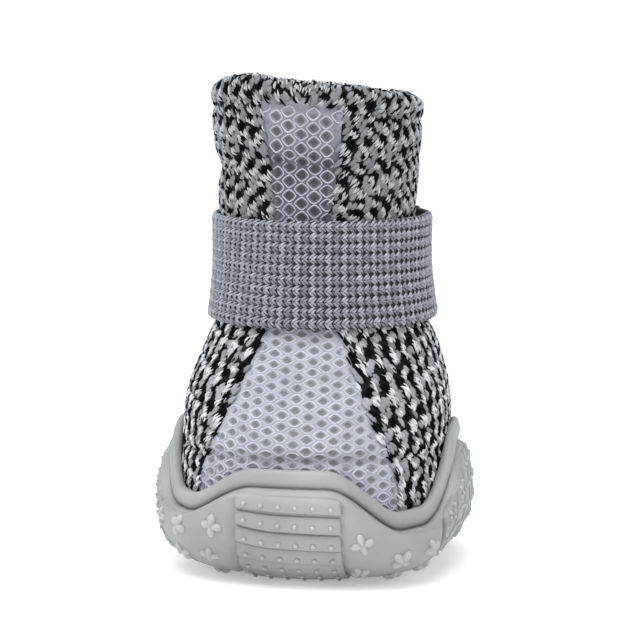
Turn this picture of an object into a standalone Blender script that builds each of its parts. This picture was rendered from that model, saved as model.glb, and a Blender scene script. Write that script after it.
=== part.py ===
"""A small dog's boot, for either side: a moulded rubber cup sole with a wrapped tread, a padded
knit upper with a mesh panel down its front, a suede stay up its back and an elastic strap.

The boot stands on the plane z = 0. Its toe points along -Y, and X is its width.
"""

import bmesh
import bpy
import math
from mathutils import Vector

# Plain finishes. Each has a colour and a roughness.
RUBBER = ((0.52, 0.54, 0.55), 0.55)
FOAM = ((0.30, 0.31, 0.33), 0.90)
KNIT = ((0.33, 0.34, 0.36), 0.85)
MESH_CLOTH = ((0.50, 0.51, 0.56), 0.85)
SUEDE = ((0.55, 0.54, 0.53), 0.95)
ELASTIC = ((0.36, 0.37, 0.40), 0.80)
SHARP_ANGLE = 35  # degrees between two faces from which their edge stays sharp

# Sole: overall sizes, in metres.
SOLE_LENGTH = 0.0735
SOLE_WIDTH = 0.0620
OUTLINE_POWER = 2.3  # 2 is an ellipse, and more is squarer
FOREFOOT_SPREAD = 0.03  # how much wider the toe half is than the heel half, as a share
SOLE_COLUMNS = 72  # points round the sole
TREAD_CLIMBS = (0, 0.03, 0.10, 0.21, 0.36)  # rings of the tread below its widest line
OVER_BELLY = 0.82  # the ring between that line and the band
RIM_HEIGHT = 0.0228  # floor to the top of the rim over the toe
BAND_HEIGHT = 0.0034  # the smooth band along the rim
BAND_INSET = 0.0022  # how far the band lies in from the widest line of the tread
BAND_THICKNESS = 0.0022
BAND_TAPER = 0.0002  # how much further in its upper part lies
BAND_ROUND = 0.3  # how much of its thickness each rounded edge takes, as a share
GROOVE_DEPTH = 0.0007  # of the line between band and tread
TREAD_CURVE = 0.0160  # how far the tread curls in under the sole
BELLY = 0.6  # the climb of the widest line, where 0 is underneath and 1 is at the band
BELLY_HEIGHT = 0.0140  # floor to that line
BELLY_HIGHEST = 0.80  # its highest place as a share of the tread's height, at the dips
TREAD_ARC = 0.0500  # the longer, the straighter the tread rises over that line
BAND_LEAN = 0.10  # how fast the band leans in where it stands over the toe's height
INNER_FLOOR = 0.0065
INNER_CHAMFER = 0.0030  # height of the slope between the inner floor and the inner wall
INNER_CHAMFER_RUN = 0.0026

# The rim rises over the toe, the sides and the heel, and dips over the four corners.
# Columns: degrees round from the toe, height of the rim's top as a share of RIM_HEIGHT.
RIM_WAVE = (
    (0, 1.00),
    (13, 1.00),
    (43, 0.67),
    (84, 1.24),
    (104, 1.24),
    (139, 0.74),
    (166, 1.05),
    (180, 1.05),
)

# Lugs: what stands out of the smooth rubber.
LUG_HEIGHT = 0.0010
LUG_ROOT = 0.0008  # how deep a lug is rooted in the rubber
RIB_PITCH = 0.0036  # of the ribs across the toe and the heel
RIB_GAP = 0.0005
RIB_TOP = 0.98  # the climb at which they end
RIB_SLOPE = 0.6  # how much lower a rib is at its upper edge, as a share of LUG_HEIGHT
RIB_STEPS = 6  # parts across a rib on the toe's or the heel's wall
TOE_PANEL_WIDTH = 0.0205
HEEL_PANEL_WIDTH = 0.0215
SOLE_PANEL_WIDTH = 0.0170  # the same ribs where they lie flat under the sole
SIDE_RIB_START = -0.0190  # along the sole, towards the toe
SIDE_RIB_PITCH = 0.0050
SIDE_RIB_COUNT = 6
SIDE_RIB_INNER = 0.0115  # how near the side ribs come to the middle of the sole
SIDE_RIB_TOP = 0.965  # the climb at which they end
SIDE_RIB_TURN = 0.4  # the climb by which they have their whole slope
SIDE_RIB_SHARES = (1, 0.82, 0.62, 0.43, 0.27, 0.14, 0.05, 0)  # stations along a side rib
BADGE_PLACE = -0.0035  # the plain disc under the sole, along its length
BADGE_RADIUS = 0.0070
BADGE_RING = 0.0010
BADGE_RECESS = 0.0005
BADGE_BOSS_RADIUS = 0.0026
BADGE_CLEARANCE = 0.0020
BADGE_SIDES = 28

# Cross-shaped studs on each of the four corners, mirrored to the other side.
# Columns: degrees round from the toe, climb, size share, twist in degrees.
STUD_SPAN = 0.0048
STUD_ARM = 0.0013
STUD_TAPER = 0.8  # size of its top as a share of its foot
STUD_CORNER = 1.2  # where two arms meet, in half arm widths from the middle
STUDS = (
    (26, 0.62, 0.95, 10),
    (39, 0.66, 1.00, 40),
    (51, 0.62, 0.85, 15),
    (27, 0.28, 0.85, 30),
    (40, 0.28, 1.00, 0),
    (52, 0.30, 0.85, 50),
    (36, 0.08, 0.85, 20),
    (120, 0.74, 0.80, 35),
    (133, 0.72, 0.85, 0),
    (146, 0.70, 0.80, 25),
    (117, 0.36, 0.90, 10),
    (130, 0.36, 1.00, 45),
    (144, 0.36, 1.00, 20),
    (119, 0.12, 0.90, 5),
    (134, 0.12, 1.00, 30),
    (148, 0.12, 0.80, 10),
    (136, 0.01, 0.80, 55),
)

# Upper: a wall of two cloths, from its seat in the sole to the collar.
GAP = 0.0003  # between pieces that touch in the real boot
UPPER_WALL = 0.0020
COLLAR_HEIGHT = 0.0945  # at the front
SHAFT_WIDTH = 0.0386
SHAFT_DEPTH = 0.0403
SHAFT_SETBACK = 0.0034  # how far the shaft's middle lies behind the middle of the sole
SHAFT_POWER = 2.1
COLLAR_LEAN = -0.0012  # how far the shaft leans to +X
COLLAR_SLOPE_START = 0.72  # the level where the collar's slopes begin to show
SPREAD_END = 0.3  # the level where the forefoot's spread has gone
WIDEST_SHARE = 0.98  # of the half width, the furthest that a patch on it may reach
PANEL_SHARES = (0, 0.36, 0.7)  # columns of the wall behind half the panel
KNIT_COLUMNS = 9  # columns of the wall from the panel to the stay

# Sections of the upper. Columns: level from its seat (0) to the collar (1), then how much of
# the step from shaft to foot is left at the sides, at the toe and at the heel, and the lean.
SECTIONS = (
    (0.000, 1.00, 1.00, 1.00, 0.0),
    (0.100, 1.00, 1.00, 1.00, 0.0),
    (0.150, 0.99, 0.98, 0.98, 0.0),
    (0.166, 0.98, 0.93, 0.94, 0.0),
    (0.190, 0.98, 0.94, 0.95, 0.0),
    (0.240, 0.98, 0.85, 0.90, 0.0),
    (0.290, 0.92, 0.72, 0.82, 0.0),
    (0.345, 0.73, 0.56, 0.68, 0.0),
    (0.410, 0.42, 0.39, 0.50, 0.0),
    (0.450, 0.20, 0.28, 0.38, 0.1),
    (0.520, 0.04, 0.15, 0.24, 0.4),
    (0.600, -0.05, 0.05, 0.11, 0.7),
    (0.680, -0.06, 0.00, 0.04, 0.9),
    (0.740, -0.02, 0.00, 0.01, 1.0),
    (0.800, 0.02, 0.00, 0.01, 1.0),
    (0.860, 0.10, 0.03, 0.03, 1.1),
    (0.925, 0.15, 0.06, 0.05, 1.2),
    (0.945, 0.09, 0.02, 0.01, 1.2),
    (0.965, 0.19, 0.08, 0.08, 1.2),
    (0.985, 0.19, 0.08, 0.08, 1.2),
    (1.000, 0.09, 0.00, 0.00, 1.2),
)

# The collar's edge. Columns: degrees round from the toe towards +X, height over its front as a
# share of COLLAR_DROP.
COLLAR_DROP = 0.0050
COLLAR_EDGE = (
    (-180, -0.90),
    (-90, -0.20),
    (-35, 0.20),
    (5, -0.08),
    (60, -0.36),
    (100, -0.60),
    (180, -0.90),
)

# Front panel: mesh cloth let into the knit.
PANEL_WIDTH = 0.0400  # at the toe
PANEL_RECESS = 0.0011
PANEL_THICKNESS = 0.0007
PANEL_TOP = 0.945  # the level of the crease under the collar's hem
PANEL_BOTTOM = 0.030
PANEL_TOP_CLEARANCE = 0.006  # levels between the panel's top and its recess's
PANEL_COLUMNS = 8
HEM_START = 0.948
# Columns: level, half width as a share of half PANEL_WIDTH.
PANEL_SHAPE = (
    (0.000, 1.00),
    (0.100, 0.98),
    (0.166, 0.91),
    (0.240, 0.76),
    (0.320, 0.61),
    (0.450, 0.37),
    (0.560, 0.28),
    (0.680, 0.27),
    (0.820, 0.35),
    (0.930, 0.42),
    (1.000, 0.42),
)

# Back stay: a suede strip up the back, split by the slit that opens the shaft.
STAY_WIDTH = 0.0100
STAY_THICKNESS = 0.0008
STAY_STAND_OUT = 0.0005  # extra thickness over the rim
STAY_BOTTOM = 0.100
STAY_CLEAR = 0.200  # the level from which it stands free of the rim
STAY_FLAT = (0.40, 0.72)  # levels between which the strap lies over it
STAY_LOBE = 0.0034  # how far its top stands over the collar
STAY_COLUMNS = 6
# The lobe's outline. Columns: share of its height, share of the strip's width.
LOBE_SHAPE = (
    (0.00, 1.00),
    (0.45, 0.94),
    (0.80, 0.76),
    (1.00, 0.48),
)
SLIT_LEVEL = 0.600
SLIT_WIDTH_LOW = 0.0010
SLIT_WIDTH_TOP = 0.0026

# Insole and strap.
INSOLE_THICKNESS = 0.0024
INSOLE_COLUMNS = 48
STRAP_WIDTH = 0.0200
STRAP_HEIGHT = 0.0478  # of its lower edge at the front
STRAP_RISE = 0.0020  # how much higher it runs at the back
STRAP_THICKNESS = 0.0016
STRAP_START_DEG = 186  # the under end, round from the toe towards +X
STRAP_OVERLAP_DEG = 50
STRAP_EASE_DEG = 30  # the turn in which it rises over its start
STRAP_TAIL = 0.45  # where its end begins to stand off, as a share of the overlap
STRAP_STEPS = 44
STRAP_LIFT = 0.0020  # how far the free end stands off
STRAP_SLACK_TOP = 0.0016  # how loose it lies on the +X side, at its upper edge
STRAP_SLACK_LOW = 0.0008
STRAP_EDGE_ROUND = 0.0004

SEAT = INNER_FLOOR + INNER_CHAMFER
EDGE_STEP = 0.00015  # width of the steep side of a recess


def between(rows, at, column):
    """The value of a column at a place between two rows."""
    if at <= rows[0][0]:
        return rows[0][column]
    for low, high in zip(rows, rows[1:]):
        if at <= high[0]:
            share = (at - low[0]) / (high[0] - low[0])
            return low[column] + (high[column] - low[column]) * share
    return rows[-1][column]


def eased(rows, at, column):
    """The same, easing in and out of each row, for a table of crests and dips."""
    if at <= rows[0][0]:
        return rows[0][column]
    for low, high in zip(rows, rows[1:]):
        if at <= high[0]:
            share = (at - low[0]) / (high[0] - low[0])
            share = share * share * (3 - 2 * share)
            return low[column] + (high[column] - low[column]) * share
    return rows[-1][column]


def rounded_loop(turn, half_width, half_length, power):
    """A point on a rounded outline, by its true angle from the toe (-Y) towards +X."""
    side = abs(math.sin(turn)) / half_width
    along = abs(math.cos(turn)) / half_length
    reach = (side**power + along**power) ** (-1 / power)
    return reach * math.sin(turn), -reach * math.cos(turn)


def sole_outline(turn, inset):
    """A point on the sole's outline, moved in by the inset."""
    half_length = SOLE_LENGTH / 2 - inset
    x, y = rounded_loop(turn, SOLE_WIDTH / 2 - inset, half_length, OUTLINE_POWER)
    return x * (1 - FOREFOOT_SPREAD * y / half_length), y


def rim_top(turn):
    """Height of the rim at an angle round the sole."""
    degrees = abs(math.degrees(math.remainder(turn, math.tau)))
    return RIM_HEIGHT * eased(RIM_WAVE, degrees, 1)


def belly_height(turn):
    """Height of the widest line of the tread, and the height where the tread ends."""
    top = rim_top(turn) - BAND_HEIGHT
    return min(BELLY_HEIGHT, BELLY_HIGHEST * top), top


def tread_height(turn, climb):
    """Height of the smooth tread, from its flat underside (0) up to the band (1)."""
    belly, top = belly_height(turn)
    if climb < BELLY:
        return LUG_HEIGHT + max(climb, 0) / BELLY * (belly - LUG_HEIGHT)
    return belly + (climb - BELLY) / (1 - BELLY) * (top - belly)


def tread_inset(turn, climb):
    """How far in the smooth tread lies there."""
    if climb <= 0:
        return TREAD_CURVE + LUG_HEIGHT
    if climb < BELLY:
        drop = 1 - climb / BELLY
        return LUG_HEIGHT + TREAD_CURVE * (1 - math.sqrt(1 - drop * drop))
    over = tread_height(turn, climb) - belly_height(turn)[0]
    return LUG_HEIGHT + over * over / TREAD_ARC


def tread_point(turn, climb):
    """A point of the smooth tread."""
    x, y = sole_outline(turn, tread_inset(turn, climb))
    return Vector((x, y, tread_height(turn, climb)))


def tread_normal(turn, climb):
    """The outward direction of the smooth tread."""
    if climb <= 0:
        return Vector((0, 0, -1))
    step = 0.01
    along = tread_point(turn + step, climb) - tread_point(turn - step, climb)
    low = max(climb - step, 0.001)
    up = tread_point(turn, climb + step) - tread_point(turn, low)
    return along.cross(up).normalized()


def make_mesh(name, points, faces, finish=None):
    """A new object from points and faces, with outward faces. A tool takes no finish."""
    mesh = bpy.data.meshes.new(name)
    mesh.from_pydata([tuple(p) for p in points], [], faces)
    work = bmesh.new()
    work.from_mesh(mesh)
    bmesh.ops.recalc_face_normals(work, faces=work.faces)
    work.to_mesh(mesh)
    work.free()
    piece = bpy.data.objects.new(name, mesh)
    bpy.context.scene.collection.objects.link(piece)
    if finish:
        mesh.materials.append(make_material(name, *finish))
        mesh.shade_smooth()
        mesh.set_sharp_from_angle(angle=math.radians(SHARP_ANGLE))
    return piece


def make_material(name, colour, roughness):
    """A plain finish in the piece's own colour."""
    material = bpy.data.materials.new(name)
    material.use_nodes = True
    shader = material.node_tree.nodes["Principled BSDF"]
    shader.inputs["Base Color"].default_value = (*colour, 1)
    shader.inputs["Roughness"].default_value = roughness
    shader.inputs["Metallic"].default_value = 0
    return material


def strip_faces(rings, columns, first=0, wrap_rings=False, wrap_columns=True):
    """Quads between rings of the same number of points."""
    faces = []
    last = rings if wrap_rings else rings - 1
    across = columns if wrap_columns else columns - 1
    for ring in range(last):
        base, other = first + ring * columns, first + (ring + 1) % rings * columns
        for column in range(across):
            beside = (column + 1) % columns
            faces.append((base + column, base + beside, other + beside, other + column))
    return faces


def add_bar(points, faces, stations):
    """A closed bar through stations of four corners each."""
    first = len(points)
    for corners in stations:
        points.extend(corners)
    faces.extend(strip_faces(len(stations), 4, first))
    faces.append(tuple(first + i for i in range(4)))
    faces.append(tuple(len(points) - 4 + i for i in range(4)))


def cut_with(piece, tool, operation):
    """Joins a tool to a piece, or cuts it out. The tool itself isn't part of the boot."""
    tool.hide_render = True
    tool.display_type = "WIRE"
    change = piece.modifiers.new(operation.title(), "BOOLEAN")
    change.operation = operation
    change.object = tool
    change.solver = "EXACT"
    change.use_self = operation == "UNION"


def across_panel(half_width, count):
    """Evenly spaced places across a panel."""
    return [half_width * (2 * i / count - 1) for i in range(count + 1)]


def turn_for(x, climb, end):
    """The angle round the sole where the tread is x from the middle, at the toe or the heel."""
    turn = 0.0 if end > 0 else math.pi
    for _ in range(12):
        here = tread_point(turn, climb)
        turn = math.atan2(x, end * abs(here.y))
    return turn


def wall_rib(points, faces, low, high, half_width, end):
    """One rib across the toe or the heel, lower at its upper edge."""
    stations = []
    for x in across_panel(half_width, RIB_STEPS):
        lower, upper = turn_for(x, low, end), turn_for(x, high, end)
        out_low, out_high = tread_normal(lower, low), tread_normal(upper, high)
        foot, head = tread_point(lower, low), tread_point(upper, high)
        stations.append(
            (
                foot - out_low * LUG_ROOT,
                foot + out_low * LUG_HEIGHT,
                head + out_high * LUG_HEIGHT * (1 - RIB_SLOPE),
                head - out_high * LUG_ROOT,
            )
        )
    add_bar(points, faces, stations)


def under_rib(points, faces, low, high, half_width):
    """One straight rib under the sole, with its flat on the floor."""
    stations = []
    for x in (-half_width, half_width):
        stations.append(
            (
                Vector((x, low, LUG_HEIGHT + LUG_ROOT)),
                Vector((x, low, 0)),
                Vector((x, high, 0)),
                Vector((x, high, LUG_HEIGHT + LUG_ROOT)),
            )
        )
    add_bar(points, faces, stations)


def side_point(y, climb):
    """The tread at a place along the sole, on the +X side."""
    x = SOLE_WIDTH / 2
    for _ in range(4):
        turn = math.atan2(x, -y)
        inset = tread_inset(turn, climb)
        half_length = SOLE_LENGTH / 2 - inset
        share = min(1, abs(y / half_length))
        side = (1 - share**OUTLINE_POWER) ** (1 / OUTLINE_POWER)
        x = (SOLE_WIDTH / 2 - inset) * side * (1 - FOREFOOT_SPREAD * y / half_length)
    return Vector((x, y, tread_height(turn, climb))), tread_normal(turn, climb)


def side_rib_end(y):
    """The climb down to which a side rib runs: the flat underside, or its inner end."""
    low, high = 0.0, BELLY
    if side_point(y, 0)[0].x > SIDE_RIB_INNER:
        return 0.0
    for _ in range(30):
        middle = (low + high) / 2
        if side_point(y, middle)[0].x > SIDE_RIB_INNER:
            high = middle
        else:
            low = middle
    return high


def side_rib(points, faces, low, high, hand):
    """One rib from the band down the side and in under the sole, on the side that hand says."""
    end = max(side_rib_end(low), side_rib_end(high))
    places = []
    for share in SIDE_RIB_SHARES:
        climb = end + (SIDE_RIB_TOP - end) * share
        front, out_front = side_point(low, climb)
        back, out_back = side_point(high, climb)
        slope = 1 - RIB_SLOPE * min(1, climb / SIDE_RIB_TURN)
        places.append((front, out_front, LUG_HEIGHT, back, out_back, LUG_HEIGHT * slope))
    if end == 0:
        down = Vector((0, 0, -1))
        flat_front = Vector((SIDE_RIB_INNER, low, LUG_HEIGHT))
        flat_back = Vector((SIDE_RIB_INNER, high, LUG_HEIGHT))
        places.append((flat_front, down, LUG_HEIGHT, flat_back, down, LUG_HEIGHT))
    mirror = Vector((hand, 1, 1))
    stations = []
    for front, out_front, front_height, back, out_back, back_height in places:
        corners = (
            front - out_front * LUG_ROOT,
            front + out_front * front_height,
            back + out_back * back_height,
            back - out_back * LUG_ROOT,
        )
        stations.append(tuple(corner * mirror for corner in corners))
    add_bar(points, faces, stations)


def stud(points, faces, turn, climb, size, twist):
    """A cross with four arms, standing on the tread."""
    centre, out = tread_point(turn, climb), tread_normal(turn, climb)
    across = Vector((math.cos(turn), math.sin(turn), 0))
    across = (across - out * across.dot(out)).normalized()
    up = out.cross(across)
    first = len(points)
    reach, half_arm = STUD_SPAN * size / 2, STUD_ARM * size / 2
    corner = half_arm * STUD_CORNER
    for height, shrink in ((-LUG_ROOT, 1.0), (LUG_HEIGHT, STUD_TAPER)):
        for arm in range(4):
            angle = math.radians(twist) + arm * math.pi / 2
            ahead = across * math.cos(angle) + up * math.sin(angle)
            beside = up * math.cos(angle) - across * math.sin(angle)
            outline = ((corner, -corner), (reach, -half_arm), (reach, half_arm))
            for forward, sideways in outline:
                offset = (ahead * forward + beside * sideways) * shrink
                points.append(centre + offset + out * height)
    faces.extend(strip_faces(2, 12, first))
    faces.append(tuple(first + i for i in range(12)))
    faces.append(tuple(first + 12 + i for i in range(12)))


def turned_disc(points, faces, profile, centre, sides):
    """A closed turned shape about a vertical line, from a profile of radius and height."""
    first = len(points)
    points.append(centre + Vector((0, 0, profile[0][1])))
    for radius, height in profile:
        for side in range(sides):
            angle = math.tau * side / sides
            spot = Vector((radius * math.cos(angle), radius * math.sin(angle), height))
            points.append(centre + spot)
    points.append(centre + Vector((0, 0, profile[-1][1])))
    faces.extend(strip_faces(len(profile), sides, first + 1))
    end = len(points) - 1
    for side in range(sides):
        beside = (side + 1) % sides
        faces.append((first, first + 1 + side, first + 1 + beside))
        faces.append((end, end - sides + side, end - sides + beside))


def rib_climbs(end):
    """The lower and upper climbs of the ribs on the toe's or the heel's wall, evenly spaced."""
    turn = 0.0 if end > 0 else math.pi
    steps = 400
    run, last = 0.0, tread_point(turn, 0)
    marks = []
    for i in range(1, steps + 1):
        climb = RIB_TOP * i / steps
        here = tread_point(turn, climb)
        run += (here - last).length
        last = here
        marks.append((run, climb))
    count = round(run / RIB_PITCH)
    pitch = run / count
    gap = RIB_GAP / 2

    def climb_at(length):
        return next((climb for run_at, climb in marks if run_at >= length), RIB_TOP)

    return [(climb_at(i * pitch + gap), climb_at((i + 1) * pitch - gap)) for i in range(count)]


def make_lugs():
    """Every rib, stud and the plain disc, as one tool to join to the sole."""
    points, faces = [], []
    for end, panel in ((1, TOE_PANEL_WIDTH), (-1, HEEL_PANEL_WIDTH)):
        for low, high in rib_climbs(end):
            wall_rib(points, faces, low, high, panel / 2, end)
        flat_end = SOLE_LENGTH / 2 - TREAD_CURVE - LUG_HEIGHT - RIB_GAP / 2
        nearest = BADGE_RADIUS + BADGE_CLEARANCE + end * -BADGE_PLACE
        count = int((flat_end - nearest) / RIB_PITCH)
        for rib in range(count):
            low = flat_end - rib * RIB_PITCH
            high = low - RIB_PITCH + RIB_GAP
            under_rib(points, faces, -end * low, -end * high, SOLE_PANEL_WIDTH / 2)
    for hand in (-1, 1):
        for rib in range(SIDE_RIB_COUNT):
            low = SIDE_RIB_START + rib * SIDE_RIB_PITCH
            side_rib(points, faces, low, low + SIDE_RIB_PITCH - RIB_GAP, hand)
        for degrees, climb, size, twist in STUDS:
            turn = math.radians(degrees) * hand
            stud(points, faces, turn, climb, size, twist * hand)
    badge = (
        (BADGE_BOSS_RADIUS, 0),
        (BADGE_BOSS_RADIUS + BADGE_RECESS, BADGE_RECESS),
        (BADGE_RADIUS - BADGE_RING - BADGE_RECESS, BADGE_RECESS),
        (BADGE_RADIUS - BADGE_RING, 0),
        (BADGE_RADIUS, 0),
        (BADGE_RADIUS, LUG_HEIGHT + LUG_ROOT),
    )
    turned_disc(points, faces, badge, Vector((0, BADGE_PLACE, 0)), BADGE_SIDES)
    return make_mesh("lug_tool", points, faces)


def band_lean(height):
    """How far the band leans in at a height."""
    return BAND_LEAN * max(0, height - RIM_HEIGHT)


def outsole_rings(turns):
    """The rings of the cup, from under the sole over the rim to the inner floor."""
    rings = []
    for climb in (*TREAD_CLIMBS, BELLY, OVER_BELLY, 1):
        rings.append([tread_point(turn, climb) for turn in turns])
    band_out = BAND_INSET + LUG_HEIGHT / 2
    band_in = band_out + BAND_THICKNESS
    # The band's own section. Columns: share of its height, inset, share of the lean.
    band = (
        (0.00, band_out + GROOVE_DEPTH, 1),
        (0.18, band_out, 1),
        (0.75, band_out + BAND_TAPER, 1),
        (1.00, band_out + BAND_ROUND * BAND_THICKNESS, 1),
        (1.00, band_in - BAND_ROUND * BAND_THICKNESS, 0.3),
        (0.80, band_in, 0),
    )
    for share, inset, lean in band:
        ring = []
        for turn in turns:
            height = rim_top(turn) - BAND_HEIGHT * (1 - share)
            x, y = sole_outline(turn, inset + lean * band_lean(height))
            ring.append(Vector((x, y, height)))
        rings.append(ring)
    for inset, height in ((band_in, SEAT), (band_in + INNER_CHAMFER_RUN, INNER_FLOOR)):
        ring = [Vector((*sole_outline(turn, inset), height)) for turn in turns]
        rings.append(ring)
    return rings


def cup_inset():
    """Inset of the cup's inner wall."""
    return BAND_INSET + LUG_HEIGHT / 2 + BAND_THICKNESS


def make_outsole():
    """The moulded cup: smooth rubber with all its lugs joined on."""
    columns = SOLE_COLUMNS
    turns = [math.tau * i / columns for i in range(columns)]
    rings = outsole_rings(turns)
    points = [point for ring in rings for point in ring]
    faces = strip_faces(len(rings), columns)
    faces.append(tuple(range(columns)))
    faces.append(tuple(range(len(points) - columns, len(points))))
    outsole = make_mesh("outsole", points, faces, RUBBER)
    cut_with(outsole, make_lugs(), "UNION")
    return outsole


def make_insole():
    """A thin foam sock that fills the inner floor, under the upper's lower edge."""
    columns = INSOLE_COLUMNS
    turns = [math.tau * i / columns for i in range(columns)]
    low, high = INNER_FLOOR + GAP, INNER_FLOOR + GAP + INSOLE_THICKNESS
    slope = INNER_CHAMFER_RUN / INNER_CHAMFER
    points = []
    for height in (low, high):
        inset = cup_inset() + INNER_CHAMFER_RUN - (height - INNER_FLOOR) * slope + 2 * GAP
        points.extend(Vector((*sole_outline(turn, inset), height)) for turn in turns)
    faces = strip_faces(2, columns)
    faces.append(tuple(range(columns)))
    faces.append(tuple(range(columns, 2 * columns)))
    return make_mesh("insole", points, faces, FOAM)


def section(level):
    """Half width, reach to the front and the back, outline power and lean of the upper."""
    foot_inset = cup_inset() + GAP
    foot_side = SOLE_WIDTH / 2 - foot_inset
    foot_end = SOLE_LENGTH / 2 - foot_inset
    shaft_front = SHAFT_DEPTH / 2 - SHAFT_SETBACK
    shaft_back = SHAFT_DEPTH / 2 + SHAFT_SETBACK
    side = between(SECTIONS, level, 1)
    half_width = SHAFT_WIDTH / 2 + side * (foot_side - SHAFT_WIDTH / 2)
    front = shaft_front + between(SECTIONS, level, 2) * (foot_end - shaft_front)
    back = shaft_back + between(SECTIONS, level, 3) * (foot_end - shaft_back)
    power = SHAFT_POWER + max(0, min(1, side)) * (OUTLINE_POWER - SHAFT_POWER)
    return half_width, front, back, power, COLLAR_LEAN * between(SECTIONS, level, 4)


def upper_height(turn, level):
    """Height of a level of the upper, with the slopes of the collar's edge near the top."""
    degrees = math.degrees(math.remainder(turn, math.tau))
    share = max(0, min(1, (level - COLLAR_SLOPE_START) / (1 - COLLAR_SLOPE_START)))
    edge = COLLAR_DROP * eased(COLLAR_EDGE, degrees, 1) * share * share * (3 - 2 * share)
    return SEAT + GAP + level * (COLLAR_HEIGHT - SEAT - GAP) + edge


def upper_point(turn, level, depth):
    """A point of the upper's wall, that deep under its outer face."""
    half_width, front, back, power, lean = section(level)
    middle, half_length = (back - front) / 2, (back + front) / 2
    x, y = rounded_loop(turn, half_width - depth, half_length - depth, power)
    share = 1 - FOREFOOT_SPREAD * y / half_length * max(0, 1 - level / SPREAD_END)
    return Vector((x * share + lean, y + middle, upper_height(turn, level)))


def turn_of(wanted, level, heel):
    """The angle at which the upper's section is that far from its middle line."""
    half_width, front, back, power, _ = section(level)
    half_length = (back + front) / 2
    share = min(wanted / half_width, WIDEST_SHARE)
    along = half_length * (1 - share**power) ** (1 / power)
    angle = math.atan2(wanted, along)
    return math.pi - angle if heel else angle


def panel_turn(level):
    """Half the angle that the front panel takes at a level."""
    half_width = PANEL_WIDTH / 2 * between(PANEL_SHAPE, level, 1)
    return turn_of(half_width, level, False)


def stay_turn(level, half_width):
    """Half the angle that the back stay takes at a level, from the heel."""
    return math.pi - turn_of(half_width, level, True)


def half_columns(level):
    """Angles from the front middle to the back middle, and which recess each lies in."""
    panel = panel_turn(level)
    stay = math.pi - stay_turn(level, STAY_WIDTH / 2 + GAP)
    step = EDGE_STEP / (SHAFT_WIDTH / 2)
    columns = [(panel * share, "panel") for share in PANEL_SHARES]
    columns.append((panel - step, "panel"))
    for i in range(KNIT_COLUMNS + 1):
        columns.append((panel + (stay - panel) * i / KNIT_COLUMNS, "knit"))
    columns.append((stay + step, "stay"))
    columns.append((stay + (math.pi - stay) * 0.5, "stay"))
    columns.append((math.pi, "stay"))
    return columns


def all_columns(level):
    """Angles the whole way round, from the front middle towards +X."""
    right = half_columns(level)
    left = [(-turn, kind) for turn, kind in reversed(right[1:-1])]
    return right + left


def in_recess(kind, level):
    """Whether a column is let in at that level."""
    if kind == "panel":
        return level <= PANEL_TOP
    return kind == "stay"


def levels_from(bottom, top):
    """The upper's own levels between two of them, so that what lies on it fits its facets."""
    own = {row[0] for row in SECTIONS} | {HEM_START}
    return [bottom] + sorted(level for level in own if bottom < level < top) + [top]


def make_upper():
    """The hollow upper: one wall, open at the collar and underneath, with a slit at the back."""
    levels = levels_from(0.0, 1.0)
    rings = []
    for level in levels:
        ring = []
        for turn, kind in all_columns(level):
            depth = PANEL_RECESS if in_recess(kind, level) else 0
            ring.append(upper_point(turn, level, depth))
        rings.append(ring)
    for level in [levels[-1]] + levels[-2:0:-2] + [levels[0]]:
        ring = [upper_point(turn, level, UPPER_WALL) for turn, _ in all_columns(level)]
        rings.append(ring)
    columns = len(rings[0])
    points = [point for ring in rings for point in ring]
    faces = strip_faces(len(rings), columns, wrap_rings=True)
    upper = make_mesh("upper", points, faces, KNIT)
    cut_with(upper, slit_tool(), "DIFFERENCE")
    return upper


def slit_tool():
    """The wedge that opens the back of the shaft, wider towards the collar."""
    low = upper_height(math.pi, SLIT_LEVEL)
    high = COLLAR_HEIGHT + STAY_LOBE
    near, far = SHAFT_DEPTH / 4, SHAFT_DEPTH
    points, faces, stations = [], [], []
    ends = ((low, SLIT_WIDTH_LOW, 0), (high, SLIT_WIDTH_TOP, COLLAR_LEAN))
    for height, width, shift in ends:
        half = width / 2
        stations.append(
            (
                Vector((shift - half, near, height)),
                Vector((shift + half, near, height)),
                Vector((shift + half, far, height)),
                Vector((shift - half, far, height)),
            )
        )
    add_bar(points, faces, stations)
    return make_mesh("slit_tool", points, faces)


def make_shell(name, levels, turns_at, outer_depth, inner_depth, finish):
    """A thin solid in the upper's own shape, between two depths and over a patch of it."""
    points = []
    for depth_at in (outer_depth, inner_depth):
        for level in levels:
            depth = depth_at(level)
            points.extend(upper_point(turn, level, depth) for turn in turns_at(level))
    rows, columns = len(levels), len(turns_at(levels[0]))
    back = rows * columns
    faces = strip_faces(rows, columns, 0, wrap_columns=False)
    faces += strip_faces(rows, columns, back, wrap_columns=False)
    for row in range(rows - 1):
        for column in (0, columns - 1):
            here, above = row * columns + column, (row + 1) * columns + column
            faces.append((here, above, back + above, back + here))
    for column in range(columns - 1):
        for row in (0, rows - 1):
            here = row * columns + column
            faces.append((here, here + 1, back + here + 1, back + here))
    return make_mesh(name, points, faces, finish)


def make_front_panel():
    """The mesh cloth down the front, in its recess."""
    inner = PANEL_RECESS - GAP
    levels = levels_from(PANEL_BOTTOM, PANEL_TOP - PANEL_TOP_CLEARANCE)
    edge = GAP / (SHAFT_WIDTH / 2)

    def turns_at(level):
        half = panel_turn(level) - edge - EDGE_STEP / (SHAFT_WIDTH / 2)
        return [half * (2 * i / PANEL_COLUMNS - 1) for i in range(PANEL_COLUMNS + 1)]

    return make_shell(
        "front_panel",
        levels,
        turns_at,
        lambda level: inner - PANEL_THICKNESS,
        lambda level: inner,
        MESH_CLOTH,
    )


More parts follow.
